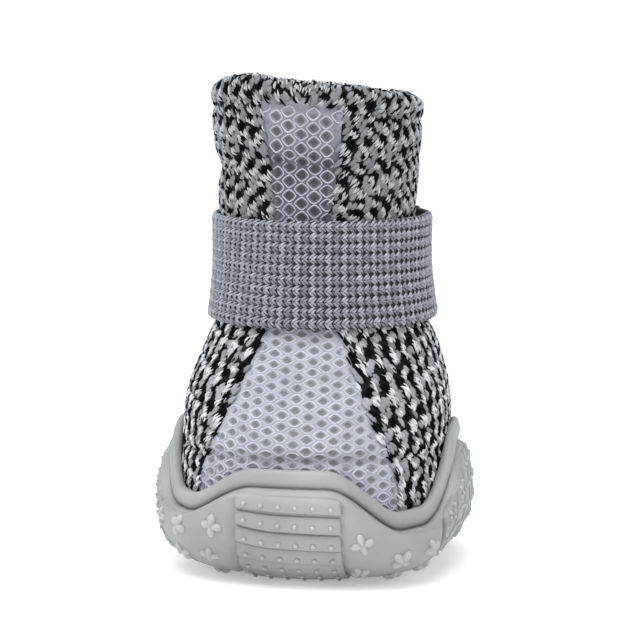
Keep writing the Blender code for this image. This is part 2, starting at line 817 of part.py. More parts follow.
def make_back_stay():
    """The suede strip up the back, in its recess, split in two by the slit."""
    inner = PANEL_RECESS - GAP
    lobe = STAY_LOBE / (COLLAR_HEIGHT - SEAT - GAP)
    levels = levels_from(STAY_BOTTOM, 1.0)
    levels += [1 + lobe * share for share, _ in LOBE_SHAPE[1:]]

    def turns_at(level):
        width = STAY_WIDTH * between(LOBE_SHAPE, (level - 1) / lobe, 1)
        half = stay_turn(min(level, 1), width / 2)
        return [math.pi + half * (2 * i / STAY_COLUMNS - 1) for i in range(STAY_COLUMNS + 1)]

    def outer(level):
        under_strap = STAY_FLAT[0] < level < STAY_FLAT[1]
        stand_out = STAY_STAND_OUT if level > STAY_CLEAR and not under_strap else 0
        return inner - STAY_THICKNESS - stand_out

    stay = make_shell("back_stay", levels, turns_at, outer, lambda level: inner, SUEDE)
    cut_with(stay, slit_tool(), "DIFFERENCE")
    return stay


def strap_turns():
    """Angles along the strap, from its under end round the front to its free end."""
    start = math.radians(STRAP_START_DEG)
    length = math.tau + math.radians(STRAP_OVERLAP_DEG)
    return [start - length * i / STRAP_STEPS for i in range(STRAP_STEPS + 1)]


def strap_point(turn, run, height, stand_off):
    """A point of the strap: that far round from the under end, up it and off the upper."""
    low = STRAP_HEIGHT + STRAP_RISE * (1 - math.cos(turn)) / 2
    place = low + height
    level = (place - SEAT - GAP) / (COLLAR_HEIGHT - SEAT - GAP)
    lap_start, lap = math.tau, math.radians(STRAP_OVERLAP_DEG)
    easing = math.radians(STRAP_EASE_DEG)
    over = max(0, min(1, (run - lap_start + easing) / easing))
    over = over * over * (3 - 2 * over)
    tail = max(0, (run - lap_start - lap * STRAP_TAIL) / (lap * (1 - STRAP_TAIL)))
    slack = STRAP_SLACK_LOW + (STRAP_SLACK_TOP - STRAP_SLACK_LOW) * height / STRAP_WIDTH
    off = stand_off + over * (STRAP_THICKNESS + GAP) + STRAP_LIFT * tail * tail
    off += slack * max(0, math.sin(turn)) ** 2
    spot = upper_point(turn, level, -off)
    return Vector((spot.x, spot.y, place))


def make_strap():
    """The elastic band: once round the shaft, with its free end laid over its start."""
    turns = strap_turns()
    near, far = GAP, GAP + STRAP_THICKNESS
    edge = STRAP_EDGE_ROUND
    # Columns: height up the strap, distance off the upper.
    section_corners = (
        (0, near),
        (0, far - edge),
        (edge, far),
        (STRAP_WIDTH / 2, far),
        (STRAP_WIDTH - edge, far),
        (STRAP_WIDTH, far - edge),
        (STRAP_WIDTH, near),
        (STRAP_WIDTH / 2, near),
    )
    points = []
    for turn in turns:
        run = turns[0] - turn
        points.extend(strap_point(turn, run, up, off) for up, off in section_corners)
    sides = len(section_corners)
    faces = strip_faces(len(turns), sides)
    faces.append(tuple(range(sides)))
    faces.append(tuple(range(len(points) - sides, len(points))))
    return make_mesh("strap", points, faces, ELASTIC)


def clear_scene():
    """Removes what a new file holds."""
    for thing in list(bpy.data.objects):
        bpy.data.objects.remove(thing)


clear_scene()
make_outsole()
make_insole()
make_upper()
make_front_panel()
make_back_stay()
make_strap()
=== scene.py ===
# %% [markdown]
# A small dog's boot, dressed for the camera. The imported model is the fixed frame: it holds the
# sizes, and every piece made here stands where one of its nodes stands. The boot is a rubber cup
# sole, a knit upper with a mesh panel down its front, a suede stay up its back and an elastic
# strap. Cloth this coarse is made of yarn that can be seen, so its yarns are real meshes here.

import math

import bmesh
import bpy
import mathutils
import numpy as np
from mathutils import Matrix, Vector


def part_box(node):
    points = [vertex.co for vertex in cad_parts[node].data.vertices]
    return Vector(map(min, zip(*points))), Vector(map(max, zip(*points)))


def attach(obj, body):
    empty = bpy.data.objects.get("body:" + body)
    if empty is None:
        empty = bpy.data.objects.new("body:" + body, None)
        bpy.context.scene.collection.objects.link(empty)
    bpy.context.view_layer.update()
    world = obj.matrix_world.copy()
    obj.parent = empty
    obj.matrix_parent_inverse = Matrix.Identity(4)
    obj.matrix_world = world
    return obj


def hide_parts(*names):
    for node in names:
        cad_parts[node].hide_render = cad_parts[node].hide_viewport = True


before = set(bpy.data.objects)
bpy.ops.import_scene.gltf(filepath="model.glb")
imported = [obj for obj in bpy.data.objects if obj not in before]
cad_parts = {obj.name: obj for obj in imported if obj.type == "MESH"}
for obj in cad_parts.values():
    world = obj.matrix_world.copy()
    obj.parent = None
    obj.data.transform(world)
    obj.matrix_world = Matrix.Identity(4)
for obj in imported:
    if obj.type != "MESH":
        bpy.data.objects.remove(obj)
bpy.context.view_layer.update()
MM = 0.001
rng = np.random.default_rng(7)
print("nodes:", sorted(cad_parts))

# %% [markdown]
# First come the sizes. Those that the frame can tell are read from its boxes, and the rest are
# the construction's own: the sole's outline, the wave of its rim, and the sections of the upper.

# %% Sizes of the sole
sole_low, sole_high = (np.array(corner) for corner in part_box("outsole"))
SOLE_WIDTH = sole_high[0] - sole_low[0]
SOLE_LENGTH = sole_high[1] - sole_low[1]
OUTLINE_POWER = 2.3  # 2 is an ellipse, and more is squarer
FOREFOOT_SPREAD = 0.03  # how much wider the toe half is, as a share
RIM_HEIGHT = 22.8 * MM  # floor to the top of the rim over the toe
BAND_HEIGHT = 3.4 * MM  # the smooth band along the rim
BAND_INSET = 2.7 * MM  # how far it lies in from the widest line of the tread
BAND_THICKNESS = 2.2 * MM
BAND_LEAN = 0.10  # how fast it leans in where it stands over the toe's height
GROOVE_DEPTH = 0.8 * MM  # of the line between band and tread
TREAD_CURVE = 16 * MM  # how far the tread curls in under the sole
BELLY = 0.6  # the climb of the widest line, where 0 is underneath and 1 is at the band
BELLY_HEIGHT = 14 * MM  # floor to that line
BELLY_HIGHEST = 0.80  # its highest place as a share of the tread's height, at the dips
TREAD_ARC = 50 * MM  # the longer, the straighter the tread rises over that line
INNER_FLOOR = 6.5 * MM
INNER_CHAMFER = 3.0 * MM
INNER_CHAMFER_RUN = 2.6 * MM
LUG_HEIGHT = 1.0 * MM
LUG_ROOT = 0.8 * MM
GAP = 0.3 * MM  # between pieces that touch in the real boot
# Columns: degrees round from the toe towards +X, height of the rim as a share of RIM_HEIGHT. The
# dips beside the toe are not quite alike.
RIM_WAVE = (
    (-180, 1.05),
    (-166, 1.05),
    (-139, 0.74),
    (-104, 1.24),
    (-84, 1.24),
    (-45, 0.735),
    (-38, 0.730),
    (-11, 1.00),
    (11, 1.00),
    (37, 0.635),
    (46, 0.645),
    (84, 1.24),
    (104, 1.24),
    (139, 0.74),
    (166, 1.05),
    (180, 1.05),
)
print("sole, mm:", round(SOLE_WIDTH / MM, 1), "x", round(SOLE_LENGTH / MM, 1))

# %% Sizes of the upper
COLLAR_HEIGHT = 94.5 * MM
COLLAR_LEAN = -1.2 * MM  # how far the shaft leans to +X
COLLAR_SLOPE_START = 0.72  # the level where the collar's slopes begin to show
SHAFT_WIDTH = 38.6 * MM
SHAFT_DEPTH = 40.3 * MM
SHAFT_SETBACK = 3.4 * MM  # how far the shaft's middle lies behind the sole's
SHAFT_POWER = 2.1
SPREAD_END = 0.3  # the level where the forefoot's spread has gone
WIDEST_SHARE = 0.98  # of the half width, the furthest that a patch on it may reach
UPPER_WALL = 2.0 * MM
SEAT = INNER_FLOOR + INNER_CHAMFER
UPPER_FOOT = SEAT + GAP
UPPER_RISE = COLLAR_HEIGHT - UPPER_FOOT
# Columns: level from the seat (0) to the collar (1), how much of the step from shaft to foot is
# left at the sides, at the toe and at the heel, and the share of the lean.
SECTIONS = (
    (0.000, 1.00, 1.00, 1.00, 0.0),
    (0.100, 1.00, 1.00, 1.00, 0.0),
    (0.150, 0.99, 0.98, 0.98, 0.0),
    (0.166, 0.98, 0.93, 0.94, 0.0),
    (0.190, 0.98, 0.94, 0.95, 0.0),
    (0.240, 0.98, 0.85, 0.90, 0.0),
    (0.290, 0.92, 0.72, 0.82, 0.0),
    (0.345, 0.73, 0.56, 0.68, 0.0),
    (0.410, 0.42, 0.39, 0.50, 0.0),
    (0.450, 0.20, 0.28, 0.38, 0.1),
    (0.520, 0.04, 0.15, 0.24, 0.4),
    (0.600, -0.05, 0.05, 0.11, 0.7),
    (0.680, -0.06, 0.00, 0.04, 0.9),
    (0.740, -0.02, 0.00, 0.01, 1.0),
    (0.800, 0.02, 0.00, 0.01, 1.0),
    (0.860, 0.10, 0.03, 0.03, 1.1),
    (0.925, 0.15, 0.06, 0.05, 1.2),
    (0.945, 0.09, 0.02, 0.01, 1.2),
    (0.965, 0.19, 0.08, 0.08, 1.2),
    (0.985, 0.19, 0.08, 0.08, 1.2),
    (1.000, 0.09, 0.00, 0.00, 1.2),
)
# Columns: degrees round from the toe towards +X, height of the collar's edge over its front.
COLLAR_EDGE = (
    (-180, -4.5 * MM),
    (-90, -1.0 * MM),
    (-35, 1.0 * MM),
    (5, -0.4 * MM),
    (60, -1.8 * MM),
    (100, -3.0 * MM),
    (180, -4.5 * MM),
)
PANEL_WIDTH = 40 * MM
PANEL_RECESS = 1.1 * MM
PANEL_TOP = 0.969
# Columns: level, half width of the front panel as a share of half PANEL_WIDTH.
PANEL_SHAPE = (
    (0.000, 1.00),
    (0.100, 0.98),
    (0.166, 0.91),
    (0.240, 0.76),
    (0.320, 0.61),
    (0.450, 0.40),
    (0.560, 0.32),
    (0.680, 0.31),
    (0.820, 0.37),
    (0.930, 0.42),
    (1.000, 0.42),
)
STAY_WIDTH = 10 * MM
STAY_LOBE = 3.4 * MM  # how far its top stands over the collar
SLIT_LEVEL = 0.600
STRAP_WIDTH = 20 * MM
STRAP_HEIGHT = 47.8 * MM  # of its lower edge at the front
STRAP_RISE = 2.0 * MM  # how much higher it runs at the back
STRAP_THICKNESS = 1.6 * MM
STRAP_START = math.radians(186)  # its under end, round from the toe towards +X
STRAP_OVERLAP = math.radians(50)
STRAP_LIFT = 2.0 * MM  # how far the free end stands off
STRAP_SLACK_TOP = 1.6 * MM  # how loose it lies on the +X side, at its upper edge
STRAP_SLACK_LOW = 0.8 * MM
print("upper, mm: from", round(UPPER_FOOT / MM, 1), "to", round(COLLAR_HEIGHT / MM, 1))

# %% [markdown]
# Every surface here is a loop round the boot whose size changes with height. The loop is a
# rounded box of the kind |x/a|^n + |y/b|^n = 1, and a table says its size at each level. The
# helpers below read such a table smoothly and give points for whole arrays at once.


# %% Reading the tables
def column_of(rows, index):
    """One column of a table."""
    return np.array([row[index] for row in rows], float)


def smooth_value(rows, at, index=1):
    """A table's value without corners and without overshoot between its rows."""
    x, y = column_of(rows, 0), column_of(rows, index)
    step = np.diff(x)
    slope = np.diff(y) / step
    middle = np.where(slope[1:] * slope[:-1] > 0, 2 * slope[1:] * slope[:-1], 0)
    middle = middle / np.where(middle == 0, 1, slope[1:] + slope[:-1])
    tangent = np.concatenate(([slope[0]], middle, [slope[-1]]))
    at = np.clip(at, x[0], x[-1])
    low = np.clip(np.searchsorted(x, at, side="right") - 1, 0, len(step) - 1)
    t = (at - x[low]) / step[low]
    t2, t3 = t * t, t * t * t
    return (
        (2 * t3 - 3 * t2 + 1) * y[low]
        + (t3 - 2 * t2 + t) * step[low] * tangent[low]
        + (3 * t2 - 2 * t3) * y[low + 1]
        + (t3 - t2) * step[low] * tangent[low + 1]
    )


def soft_step(low, high, at):
    """0 below, 1 above, and eased between."""
    share = np.clip((at - low) / (high - low), 0, 1)
    return share * share * (3 - 2 * share)


def soft_window(start, full, fade, gone, at):
    """1 from full to fade, 0 before start and after gone, and eased between."""
    return soft_step(start, full, at) * (1 - soft_step(fade, gone, at))


def eased_value(rows, at):
    """A table of crests and dips, level at each row."""
    x, y = column_of(rows, 0), column_of(rows, 1)
    low = np.clip(np.searchsorted(x, at, side="right") - 1, 0, len(x) - 2)
    return y[low] + (y[low + 1] - y[low]) * soft_step(x[low], x[low + 1], at)


def wrapped(turn):
    """An angle brought between minus and plus half a turn."""
    return (turn + math.pi) % math.tau - math.pi


def angles_round(count):
    """Angles evenly round a circle."""
    return np.arange(count) * math.tau / count


def rounded_loop(turn, half_width, half_length, power):
    """Points on a rounded outline, by their true angle from the toe (-Y) towards +X."""
    side = np.abs(np.sin(turn)) / half_width
    along = np.abs(np.cos(turn)) / half_length
    reach = (side**power + along**power) ** (-1 / power)
    return reach * np.sin(turn), -reach * np.cos(turn)


# %% Shape of the sole
def outline_ring(turn, inset, height):
    """Points on the sole's outline, moved in by the inset, at a height."""
    half_length = SOLE_LENGTH / 2 - inset
    x, y = rounded_loop(turn, SOLE_WIDTH / 2 - inset, half_length, OUTLINE_POWER)
    x = x * (1 - FOREFOOT_SPREAD * y / half_length)
    return np.stack(np.broadcast_arrays(x, y, height), -1)


def rim_top(turn):
    """Height of the rim at an angle round the sole."""
    return RIM_HEIGHT * eased_value(RIM_WAVE, np.degrees(wrapped(turn)))


def tread_section(turn, climb):
    """Height and inset of the smooth tread, from its flat underside (climb 0) to the band (1)."""
    turn, climb = np.broadcast_arrays(turn, climb)
    top = rim_top(turn) - BAND_HEIGHT
    belly = np.minimum(BELLY_HEIGHT, BELLY_HIGHEST * top)
    low = np.clip(climb, 0, BELLY) / BELLY
    high = np.clip((climb - BELLY) / (1 - BELLY), 0, 1)
    height = LUG_HEIGHT + low * (belly - LUG_HEIGHT) + high * (top - belly)
    over = np.maximum(height - belly, 0) * (climb > BELLY)
    inset = LUG_HEIGHT + TREAD_CURVE * (1 - np.sqrt(1 - (1 - low) ** 2))
    return height, inset + over**2 / TREAD_ARC


def tread_point(turn, climb):
    """Points of the smooth tread."""
    height, inset = tread_section(turn, climb)
    return outline_ring(turn, inset, height)


def unit(vectors):
    """Vectors of length one."""
    return vectors / np.maximum(np.linalg.norm(vectors, axis=-1, keepdims=True), 1e-12)


def tread_normal(turn, climb):
    """Outward directions of the smooth tread."""
    step = 0.01
    along = tread_point(turn + step, climb) - tread_point(turn - step, climb)
    above = tread_point(turn, np.minimum(climb + step, 1))
    below = tread_point(turn, np.maximum(climb - step, 0.001))
    return unit(np.cross(along, above - below))


def on_tread(turn, climb):
    """Points and outward directions of the smooth tread."""
    return tread_point(turn, climb), tread_normal(turn, climb)


CUP_INSET = BAND_INSET + BAND_THICKNESS
print("rim, mm: toe", round(float(rim_top(0.0)) / MM, 1), "side", round(float(rim_top(1.6)) / MM, 1))


# %% Shape of the upper
FOOT_SIDE = SOLE_WIDTH / 2 - CUP_INSET - GAP
FOOT_END = SOLE_LENGTH / 2 - CUP_INSET - GAP
SHAFT_FRONT = SHAFT_DEPTH / 2 - SHAFT_SETBACK
SHAFT_BACK = SHAFT_DEPTH / 2 + SHAFT_SETBACK


def section(level):
    """Half width, front reach, back reach, power and lean at a level."""
    side = smooth_value(SECTIONS, level, 1)
    half_width = SHAFT_WIDTH / 2 + side * (FOOT_SIDE - SHAFT_WIDTH / 2)
    front = SHAFT_FRONT + smooth_value(SECTIONS, level, 2) * (FOOT_END - SHAFT_FRONT)
    back = SHAFT_BACK + smooth_value(SECTIONS, level, 3) * (FOOT_END - SHAFT_BACK)
    power = SHAFT_POWER + np.clip(side, 0, 1) * (OUTLINE_POWER - SHAFT_POWER)
    return half_width, front, back, power, COLLAR_LEAN * smooth_value(SECTIONS, level, 4)


def upper_height(turn, level):
    """Height of a level, with the slopes of the collar's edge near the top."""
    share = soft_step(COLLAR_SLOPE_START, 1, level)
    edge = eased_value(COLLAR_EDGE, np.degrees(wrapped(turn)))
    return UPPER_FOOT + level * UPPER_RISE + edge * share


def upper_point(turn, level, out):
    """Points of the upper, that far out from its face. A negative distance is inside."""
    turn, level, out = np.broadcast_arrays(turn, level, out)
    half_width, front, back, power, lean = section(level)
    half_length = (back + front) / 2
    x, y = rounded_loop(turn, half_width + out, half_length + out, power)
    spread = 1 - FOREFOOT_SPREAD * y / half_length * np.clip(1 - level / SPREAD_END, 0, 1)
    return np.stack([x * spread + lean, y + (back - front) / 2, upper_height(turn, level)], -1)


def turn_at(half_span, level, heel):
    """The angle where the section is that far from its middle line."""
    half_width, front, back, power, _ = section(level)
    share = np.minimum(half_span / half_width, WIDEST_SHARE)
    along = (back + front) / 2 * (1 - share**power) ** (1 / power)
    angle = np.arctan2(half_span, along)
    return math.pi - angle if heel else angle


def panel_turn(level):
    """Half the angle that the front panel takes."""
    return turn_at(PANEL_WIDTH / 2 * smooth_value(PANEL_SHAPE, level), level, False)


def level_at(height):
    """The level at a height, away from the collar's slopes."""
    return (height - UPPER_FOOT) / UPPER_RISE


print("panel half angle at the strap, deg:", round(math.degrees(float(panel_turn(0.55))), 1))

# %% [markdown]
# Cloth is handled as a measured grid: a block of points, each with its distance across and up in
# metres. A lattice of stitches can then be laid out flat, in real sizes, and found on the body.


# %% A measured cloth
def grid_normals(points):
    """Outward directions on a grid of rows going up and columns going from -X to +X."""
    up = np.gradient(points, axis=0)
    across = np.gradient(points, axis=1)
    return unit(np.cross(across, up))


def arc_lengths(points, axis):
    """Distance run along a grid."""
    run = np.linalg.norm(np.diff(points, axis=axis), axis=-1)
    start = np.zeros_like(np.take(run, [0], axis=axis))
    return np.concatenate([start, np.cumsum(run, axis=axis)], axis=axis)


class Cloth:
    """A grid of points with its sizes across and up the cloth, in metres."""

    def __init__(self, points, across, up):
        self.points = points
        self.normals = grid_normals(points)
        self.across = across
        self.up = up

    def read(self, values, u, v):
        """Values at places on the cloth, u across and v up."""
        row = np.interp(v, self.up, np.arange(len(self.up)))
        low = np.clip(row.astype(int), 0, len(self.up) - 2)
        part = row - low
        found = []
        for one_u, one_low, one_part in zip(u, low, part):
            pair = []
            for line in (one_low, one_low + 1):
                column = np.interp(one_u, self.across[line], np.arange(self.across.shape[1]))
                left = min(int(column), self.across.shape[1] - 2)
                share = column - left
                pair.append(values[line, left] * (1 - share) + values[line, left + 1] * share)
            found.append(pair[0] * (1 - one_part) + pair[1] * one_part)
        return np.array(found)

    def frames(self, u, v):
        """Points, outward directions, and the cloth's own directions across and up."""
        step = 0.3 * MM
        here = self.read(self.points, u, v)
        out = unit(self.read(self.normals, u, v))
        right = self.read(self.points, u + step, v) - self.read(self.points, u - step, v)
        right = unit(right - out * np.sum(right * out, -1, keepdims=True))
        return here, out, right, np.cross(out, right)


def joined(blocks):
    """The columns of several blocks, each joined into one array."""
    return [np.concatenate(column) for column in zip(*blocks)]


shaft_loop = upper_point(np.linspace(-math.pi, math.pi, 361), 0.8, 0.0)
print("girth of the shaft, mm:", round(float(arc_lengths(shaft_loop, 0)[-1]) / MM, 1))


# %% Turning points into pieces
def make_piece(name, points, faces, *materials, smooth_angle=180):
    """A new object at the origin, with its place in its mesh."""
    mesh = bpy.data.meshes.new(name)
    mesh.from_pydata(np.asarray(points).reshape(-1, 3).tolist(), [], faces)
    piece = bpy.data.objects.new(name, mesh)
    bpy.context.scene.collection.objects.link(piece)
    for material in materials:
        mesh.materials.append(material)
    mesh.shade_smooth()
    if smooth_angle < 180:
        mesh.set_sharp_from_angle(angle=math.radians(smooth_angle))
    return piece


def grid_faces(rows, columns, wrap_rows=False, wrap_columns=False, first=0):
    """Quads between the points of a grid."""
    r = np.arange(rows if wrap_rows else rows - 1)
    c = np.arange(columns if wrap_columns else columns - 1)
    r, c = (a.ravel() for a in np.meshgrid(r, c, indexing="ij"))
    low, high, beside = r * columns, (r + 1) % rows * columns, (c + 1) % columns
    return (np.stack([low + c, low + beside, high + beside, high + c], -1) + first).tolist()


def tube_faces(rings, around, first=0):
    """Quads between closed rings, and a face on each end."""
    last = first + (rings - 1) * around
    ends = [list(range(start, start + around)) for start in (first, last)]
    return grid_faces(rings, around, wrap_columns=True, first=first) + ends


def fan_faces(tip, first, around):
    """Triangles between a point and a ring."""
    return [(tip, first + side, first + (side + 1) % around) for side in range(around)]


def turned_points(reach, height, around):
    """Rings of points round the Z axis. Reach and height have a row for each ring."""
    angle = angles_round(around)
    x, y = reach * np.cos(angle), reach * np.sin(angle)
    return np.stack(np.broadcast_arrays(x, y, height), -1)


def face_outwards(piece):
    """Makes a closed piece's faces point outwards."""
    work = bmesh.new()
    work.from_mesh(piece.data)
    bmesh.ops.recalc_face_normals(work, faces=work.faces)
    work.to_mesh(piece.data)
    work.free()
    return piece


def ringed_piece(name, rings, finish, smooth_angle):
    """A closed piece through rings of points."""
    faces = tube_faces(len(rings), len(rings[0]))
    return face_outwards(make_piece(name, rings, faces, finish, smooth_angle=smooth_angle))


def applied(piece):
    """Replaces a piece's mesh with what its modifiers make of it."""
    depsgraph = bpy.context.evaluated_depsgraph_get()
    depsgraph.update()
    mesh = bpy.data.meshes.new_from_object(piece.evaluated_get(depsgraph), depsgraph=depsgraph)
    piece.modifiers.clear()
    old, piece.data = piece.data, mesh
    bpy.data.meshes.remove(old)
    mesh.name = piece.name
    return piece


def triangles(piece):
    """How many triangles a piece has."""
    return sum(len(face.vertices) - 2 for face in piece.data.polygons)


def set_values(piece, label, values, kind="FLOAT"):
    """Writes a value or a vector for each point of a piece."""
    layer = piece.data.attributes.new(label, kind, "POINT")
    field = "value" if kind == "FLOAT" else "vector"
    layer.data.foreach_set(field, np.ascontiguousarray(values, np.float32).ravel())


print("faces of a tube of 3 rings of 8:", len(tube_faces(3, 8)))

# %% [markdown]
# Stitches, net cells, studs and dots all repeat one small shape over a surface. One Geometry
# Nodes tree does it: it sets the shape on every point, turns it to the cloth's own directions,
# wobbles it a little with a fixed seed, and joins the result into one mesh.


# %% A tree that lays a shape on points
def fed(tree, node, inputs):
    """A node with its inputs given: an output is linked to them, and a plain value is set."""
    for key, given in inputs.items():
        if isinstance(given, bpy.types.NodeSocket):
            tree.links.new(given, node.inputs[key])
        else:
            node.inputs[key].default_value = given
    return node


def laying_tree():
    """The node tree, with named inputs for the shape, its wobble and its finish."""
    tree = bpy.data.node_groups.new("Lay on points", "GeometryNodeTree")
    for label, kind in (
        ("Points", "NodeSocketGeometry"),
        ("Shape", "NodeSocketObject"),
        ("Wobble", "NodeSocketFloat"),
        ("Seed", "NodeSocketInt"),
        ("Finish", "NodeSocketMaterial"),
    ):
        tree.interface.new_socket(label, in_out="INPUT", socket_type=kind)
    tree.interface.new_socket("Mesh", in_out="OUTPUT", socket_type="NodeSocketGeometry")
    node = tree.nodes.new
    given = node("NodeGroupInput").outputs

    def attribute(name):
        reader = node("GeometryNodeInputNamedAttribute")
        reader.data_type = "FLOAT_VECTOR"
        return fed(tree, reader, {"Name": name}).outputs["Attribute"]

    def aligned(axis, pivot, inputs):
        turner = node("FunctionNodeAlignRotationToVector")
        turner.axis = axis
        turner.pivot_axis = pivot
        return fed(tree, turner, inputs).outputs["Rotation"]

    facing = aligned("Z", "AUTO", {"Vector": attribute("out")})
    lying = aligned("X", "Z", {"Vector": attribute("along"), "Rotation": facing})
    negative = node("ShaderNodeMath")
    negative.operation = "MULTIPLY"
    fed(tree, negative, {0: given["Wobble"], 1: -1})
    wobble = node("FunctionNodeRandomValue")
    wobble.data_type = "FLOAT_VECTOR"
    limits = {"Min": negative.outputs[0], "Max": given["Wobble"], "Seed": given["Seed"]}
    fed(tree, wobble, limits)
    shaken = node("FunctionNodeRotateRotation")
    shaken.rotation_space = "LOCAL"
    fed(tree, shaken, {"Rotation": lying, "Rotate By": wobble.outputs["Value"]})
    shape = fed(tree, node("GeometryNodeObjectInfo"), {"Object": given["Shape"]})
    copies = {
        "Points": given["Points"],
        "Instance": shape.outputs["Geometry"],
        "Rotation": shaken.outputs["Rotation"],
        "Scale": attribute("stretch"),
    }
    lay = fed(tree, node("GeometryNodeInstanceOnPoints"), copies)
    real = fed(tree, node("GeometryNodeRealizeInstances"), {"Geometry": lay.outputs["Instances"]})
    finish = {"Geometry": real.outputs["Geometry"], "Material": given["Finish"]}
    dressed = fed(tree, node("GeometryNodeSetMaterial"), finish)
    fed(tree, node("NodeGroupOutput"), {"Mesh": dressed.outputs["Geometry"]})
    return tree


LAYING_TREE = laying_tree()


def lay_on_points(name, shape, places, finish, wobble=0.0, seed=1, tone=None):
    """A piece made of one shape on many places. places is points, out, along and stretch."""
    carrier = make_piece(name, places[0], [])
    for label, vectors in zip(("out", "along", "stretch"), places[1:]):
        set_values(carrier, label, vectors, "FLOAT_VECTOR")
    if tone is not None:
        set_values(carrier, "tone", tone)
    change = carrier.modifiers.new("Lay", "NODES")
    change.node_group = LAYING_TREE
    values = {"Shape": shape, "Wobble": wobble, "Seed": seed, "Finish": finish}
    for socket in LAYING_TREE.interface.items_tree:
        if socket.in_out == "INPUT" and socket.name in values:
            change[socket.identifier] = values[socket.name]
    applied(carrier)
    carrier.data.shade_smooth()
    bpy.data.objects.remove(shape)
    print(name, "copies:", len(places[0]), "triangles:", triangles(carrier))
    return carrier


def full_size(places):
    """Places where the shape is laid at its own size."""
    return [*places, np.ones((len(places[0]), 3))]


def small_shape(points, faces):
    """A shape to be laid, kept out of the render."""
    shape = face_outwards(make_piece("shape", points, faces))
    shape.hide_render = True
    return shape


def domed_shape(top, reach, height, around):
    """A shape to be laid: rings under a top point, closed below."""
    rings = turned_points(reach, height, around)
    points = np.concatenate([[(0, 0, top)], rings.reshape(-1, 3)])
    faces = fan_faces(0, 1, around) + grid_faces(len(rings), around, wrap_columns=True, first=1)
    return small_shape(points, faces + [list(range(len(points) - around, len(points)))])


def yarn_shape(length, width, height, rings=4, sides=5, tip=0.35, sink=0.35):
    """A bowed length of yarn: thin tucked ends, and thick where it lies over the cloth."""
    place, angle = np.linspace(-1, 1, rings)[:, None], angles_round(sides)
    thick = tip + (1 - tip) * np.sqrt(1 - place**2)
    y = width / 2 * thick * np.cos(angle)
    z = height * (1 - sink - place**2) + height / 2 * thick * np.sin(angle)
    points = np.stack(np.broadcast_arrays(length / 2 * place, y, z), -1)
    return small_shape(points, tube_faces(rings, sides))


# %% [markdown]
# The studio comes next, so that each new piece can be looked at as soon as it is made. The real
# boot stands on white, lit softly from all round. A sheet that curves up behind it has no
# horizon, three large lamps give the soft shading, and a long lens looks slightly down at it.

# %% Colour values and a stage
PAPER_GLOW = 0.31


def shade(red, green, blue):
    """A colour as seen on a screen, turned into the light values that shaders use."""
    seen = np.array([red, green, blue])
    light = np.where(seen <= 0.04045, seen / 12.92, ((seen + 0.055) / 1.055) ** 2.4)
    return (*[float(value) for value in light], 1.0)


def plain_shader(name, colour, roughness, others):
    """A material, its node tree and its one shader, with the shader's other sockets set."""
    material = bpy.data.materials.new(name)
    material.use_nodes = True
    tree = material.node_tree
    inputs = {"Base Color": colour, "Roughness": roughness, **others}
    return material, tree, fed(tree, tree.nodes["Principled BSDF"], inputs)


def make_sweep():
    """A pale sheet: flat under the boot, and curved up all round far away from it."""
    flat, radius, top, around = 1.9, 0.8, 1.5, 96
    bend = np.linspace(0, math.pi / 2, 13)
    reach = np.append(flat + radius * np.sin(bend), flat + radius)[:, None]
    height = np.append(radius * (1 - np.cos(bend)), top)[:, None]
    points, faces = turned_points(reach, height, around), tube_faces(len(reach), around)
    glow = {"Emission Color": (1, 1, 1, 1), "Emission Strength": PAPER_GLOW}
    paper = plain_shader("white_paper", shade(0.95, 0.95, 0.95), 0.9, glow)[0]
    return make_piece("sweep", points, faces[:-1], paper, smooth_angle=60)


make_sweep()
print("middle grey as light:", round(shade(0.5, 0.5, 0.5)[0], 3))

# %% Lamps
BOOT_MIDDLE = mathutils.Vector((0.0, 0.0, 47.5 * MM))


def soft_lamp(name, place, size, power):
    """A large square lamp that points at the boot."""
    light = bpy.data.lights.new(name, "AREA")
    light.shape = "SQUARE"
    light.size = size
    light.energy = power
    lamp = bpy.data.objects.new(name, light)
    bpy.context.scene.collection.objects.link(lamp)
    lamp.location = place
    turned = BOOT_MIDDLE - mathutils.Vector(place)
    lamp.rotation_euler = turned.to_track_quat("-Z", "Y").to_euler()


soft_lamp("lamp_over", (-0.10, -0.40, 1.35), 1.4, 24)
soft_lamp("lamp_left", (-1.0, -0.8, 0.80), 0.8, 3.5)
soft_lamp("lamp_right", (1.0, -0.7, 0.85), 0.8, 3)
world = bpy.data.worlds.new("studio")
world.use_nodes = True
world.node_tree.nodes["Background"].inputs["Color"].default_value = (1, 1, 1, 1)
world.node_tree.nodes["Background"].inputs["Strength"].default_value = 0.30
bpy.context.scene.world = world
bpy.context.scene.view_settings.view_transform = "Standard"

# %% Camera
VIEW_TURN = math.radians(9.1)
VIEW_CLIMB = math.radians(5.9)
VIEW_ROLL = math.radians(0.7)
VIEW_DISTANCE = 430 * MM
VIEW_AIM = mathutils.Vector((0.0, 0.0, 45 * MM))
FOCAL_LENGTH = 122
level_reach = math.cos(VIEW_CLIMB)
back = (math.sin(VIEW_TURN) * level_reach, -math.cos(VIEW_TURN) * level_reach, math.sin(VIEW_CLIMB))
lens = bpy.data.cameras.new("camera")
lens.lens = FOCAL_LENGTH
lens.sensor_width = 36
lens.clip_start = 0.01
camera = bpy.data.objects.new("camera", lens)
bpy.context.scene.collection.objects.link(camera)
camera.location = VIEW_AIM + VIEW_DISTANCE * mathutils.Vector(back)
facing = (BOOT_MIDDLE - camera.location).to_track_quat("-Z", "Y")
facing = facing @ mathutils.Quaternion((0, 0, 1), VIEW_ROLL)
camera.rotation_euler = facing.to_euler()
bpy.context.scene.camera = camera
print("camera, mm:", [round(value / MM) for value in camera.location])

# %% [markdown]
# Finishes are built from a few kinds of node. Noise in the object's own metres gives grain and
# slow changes of tone, bump turns it into fine relief, and a yarn's own tone comes from the
# attribute that was set on its point.


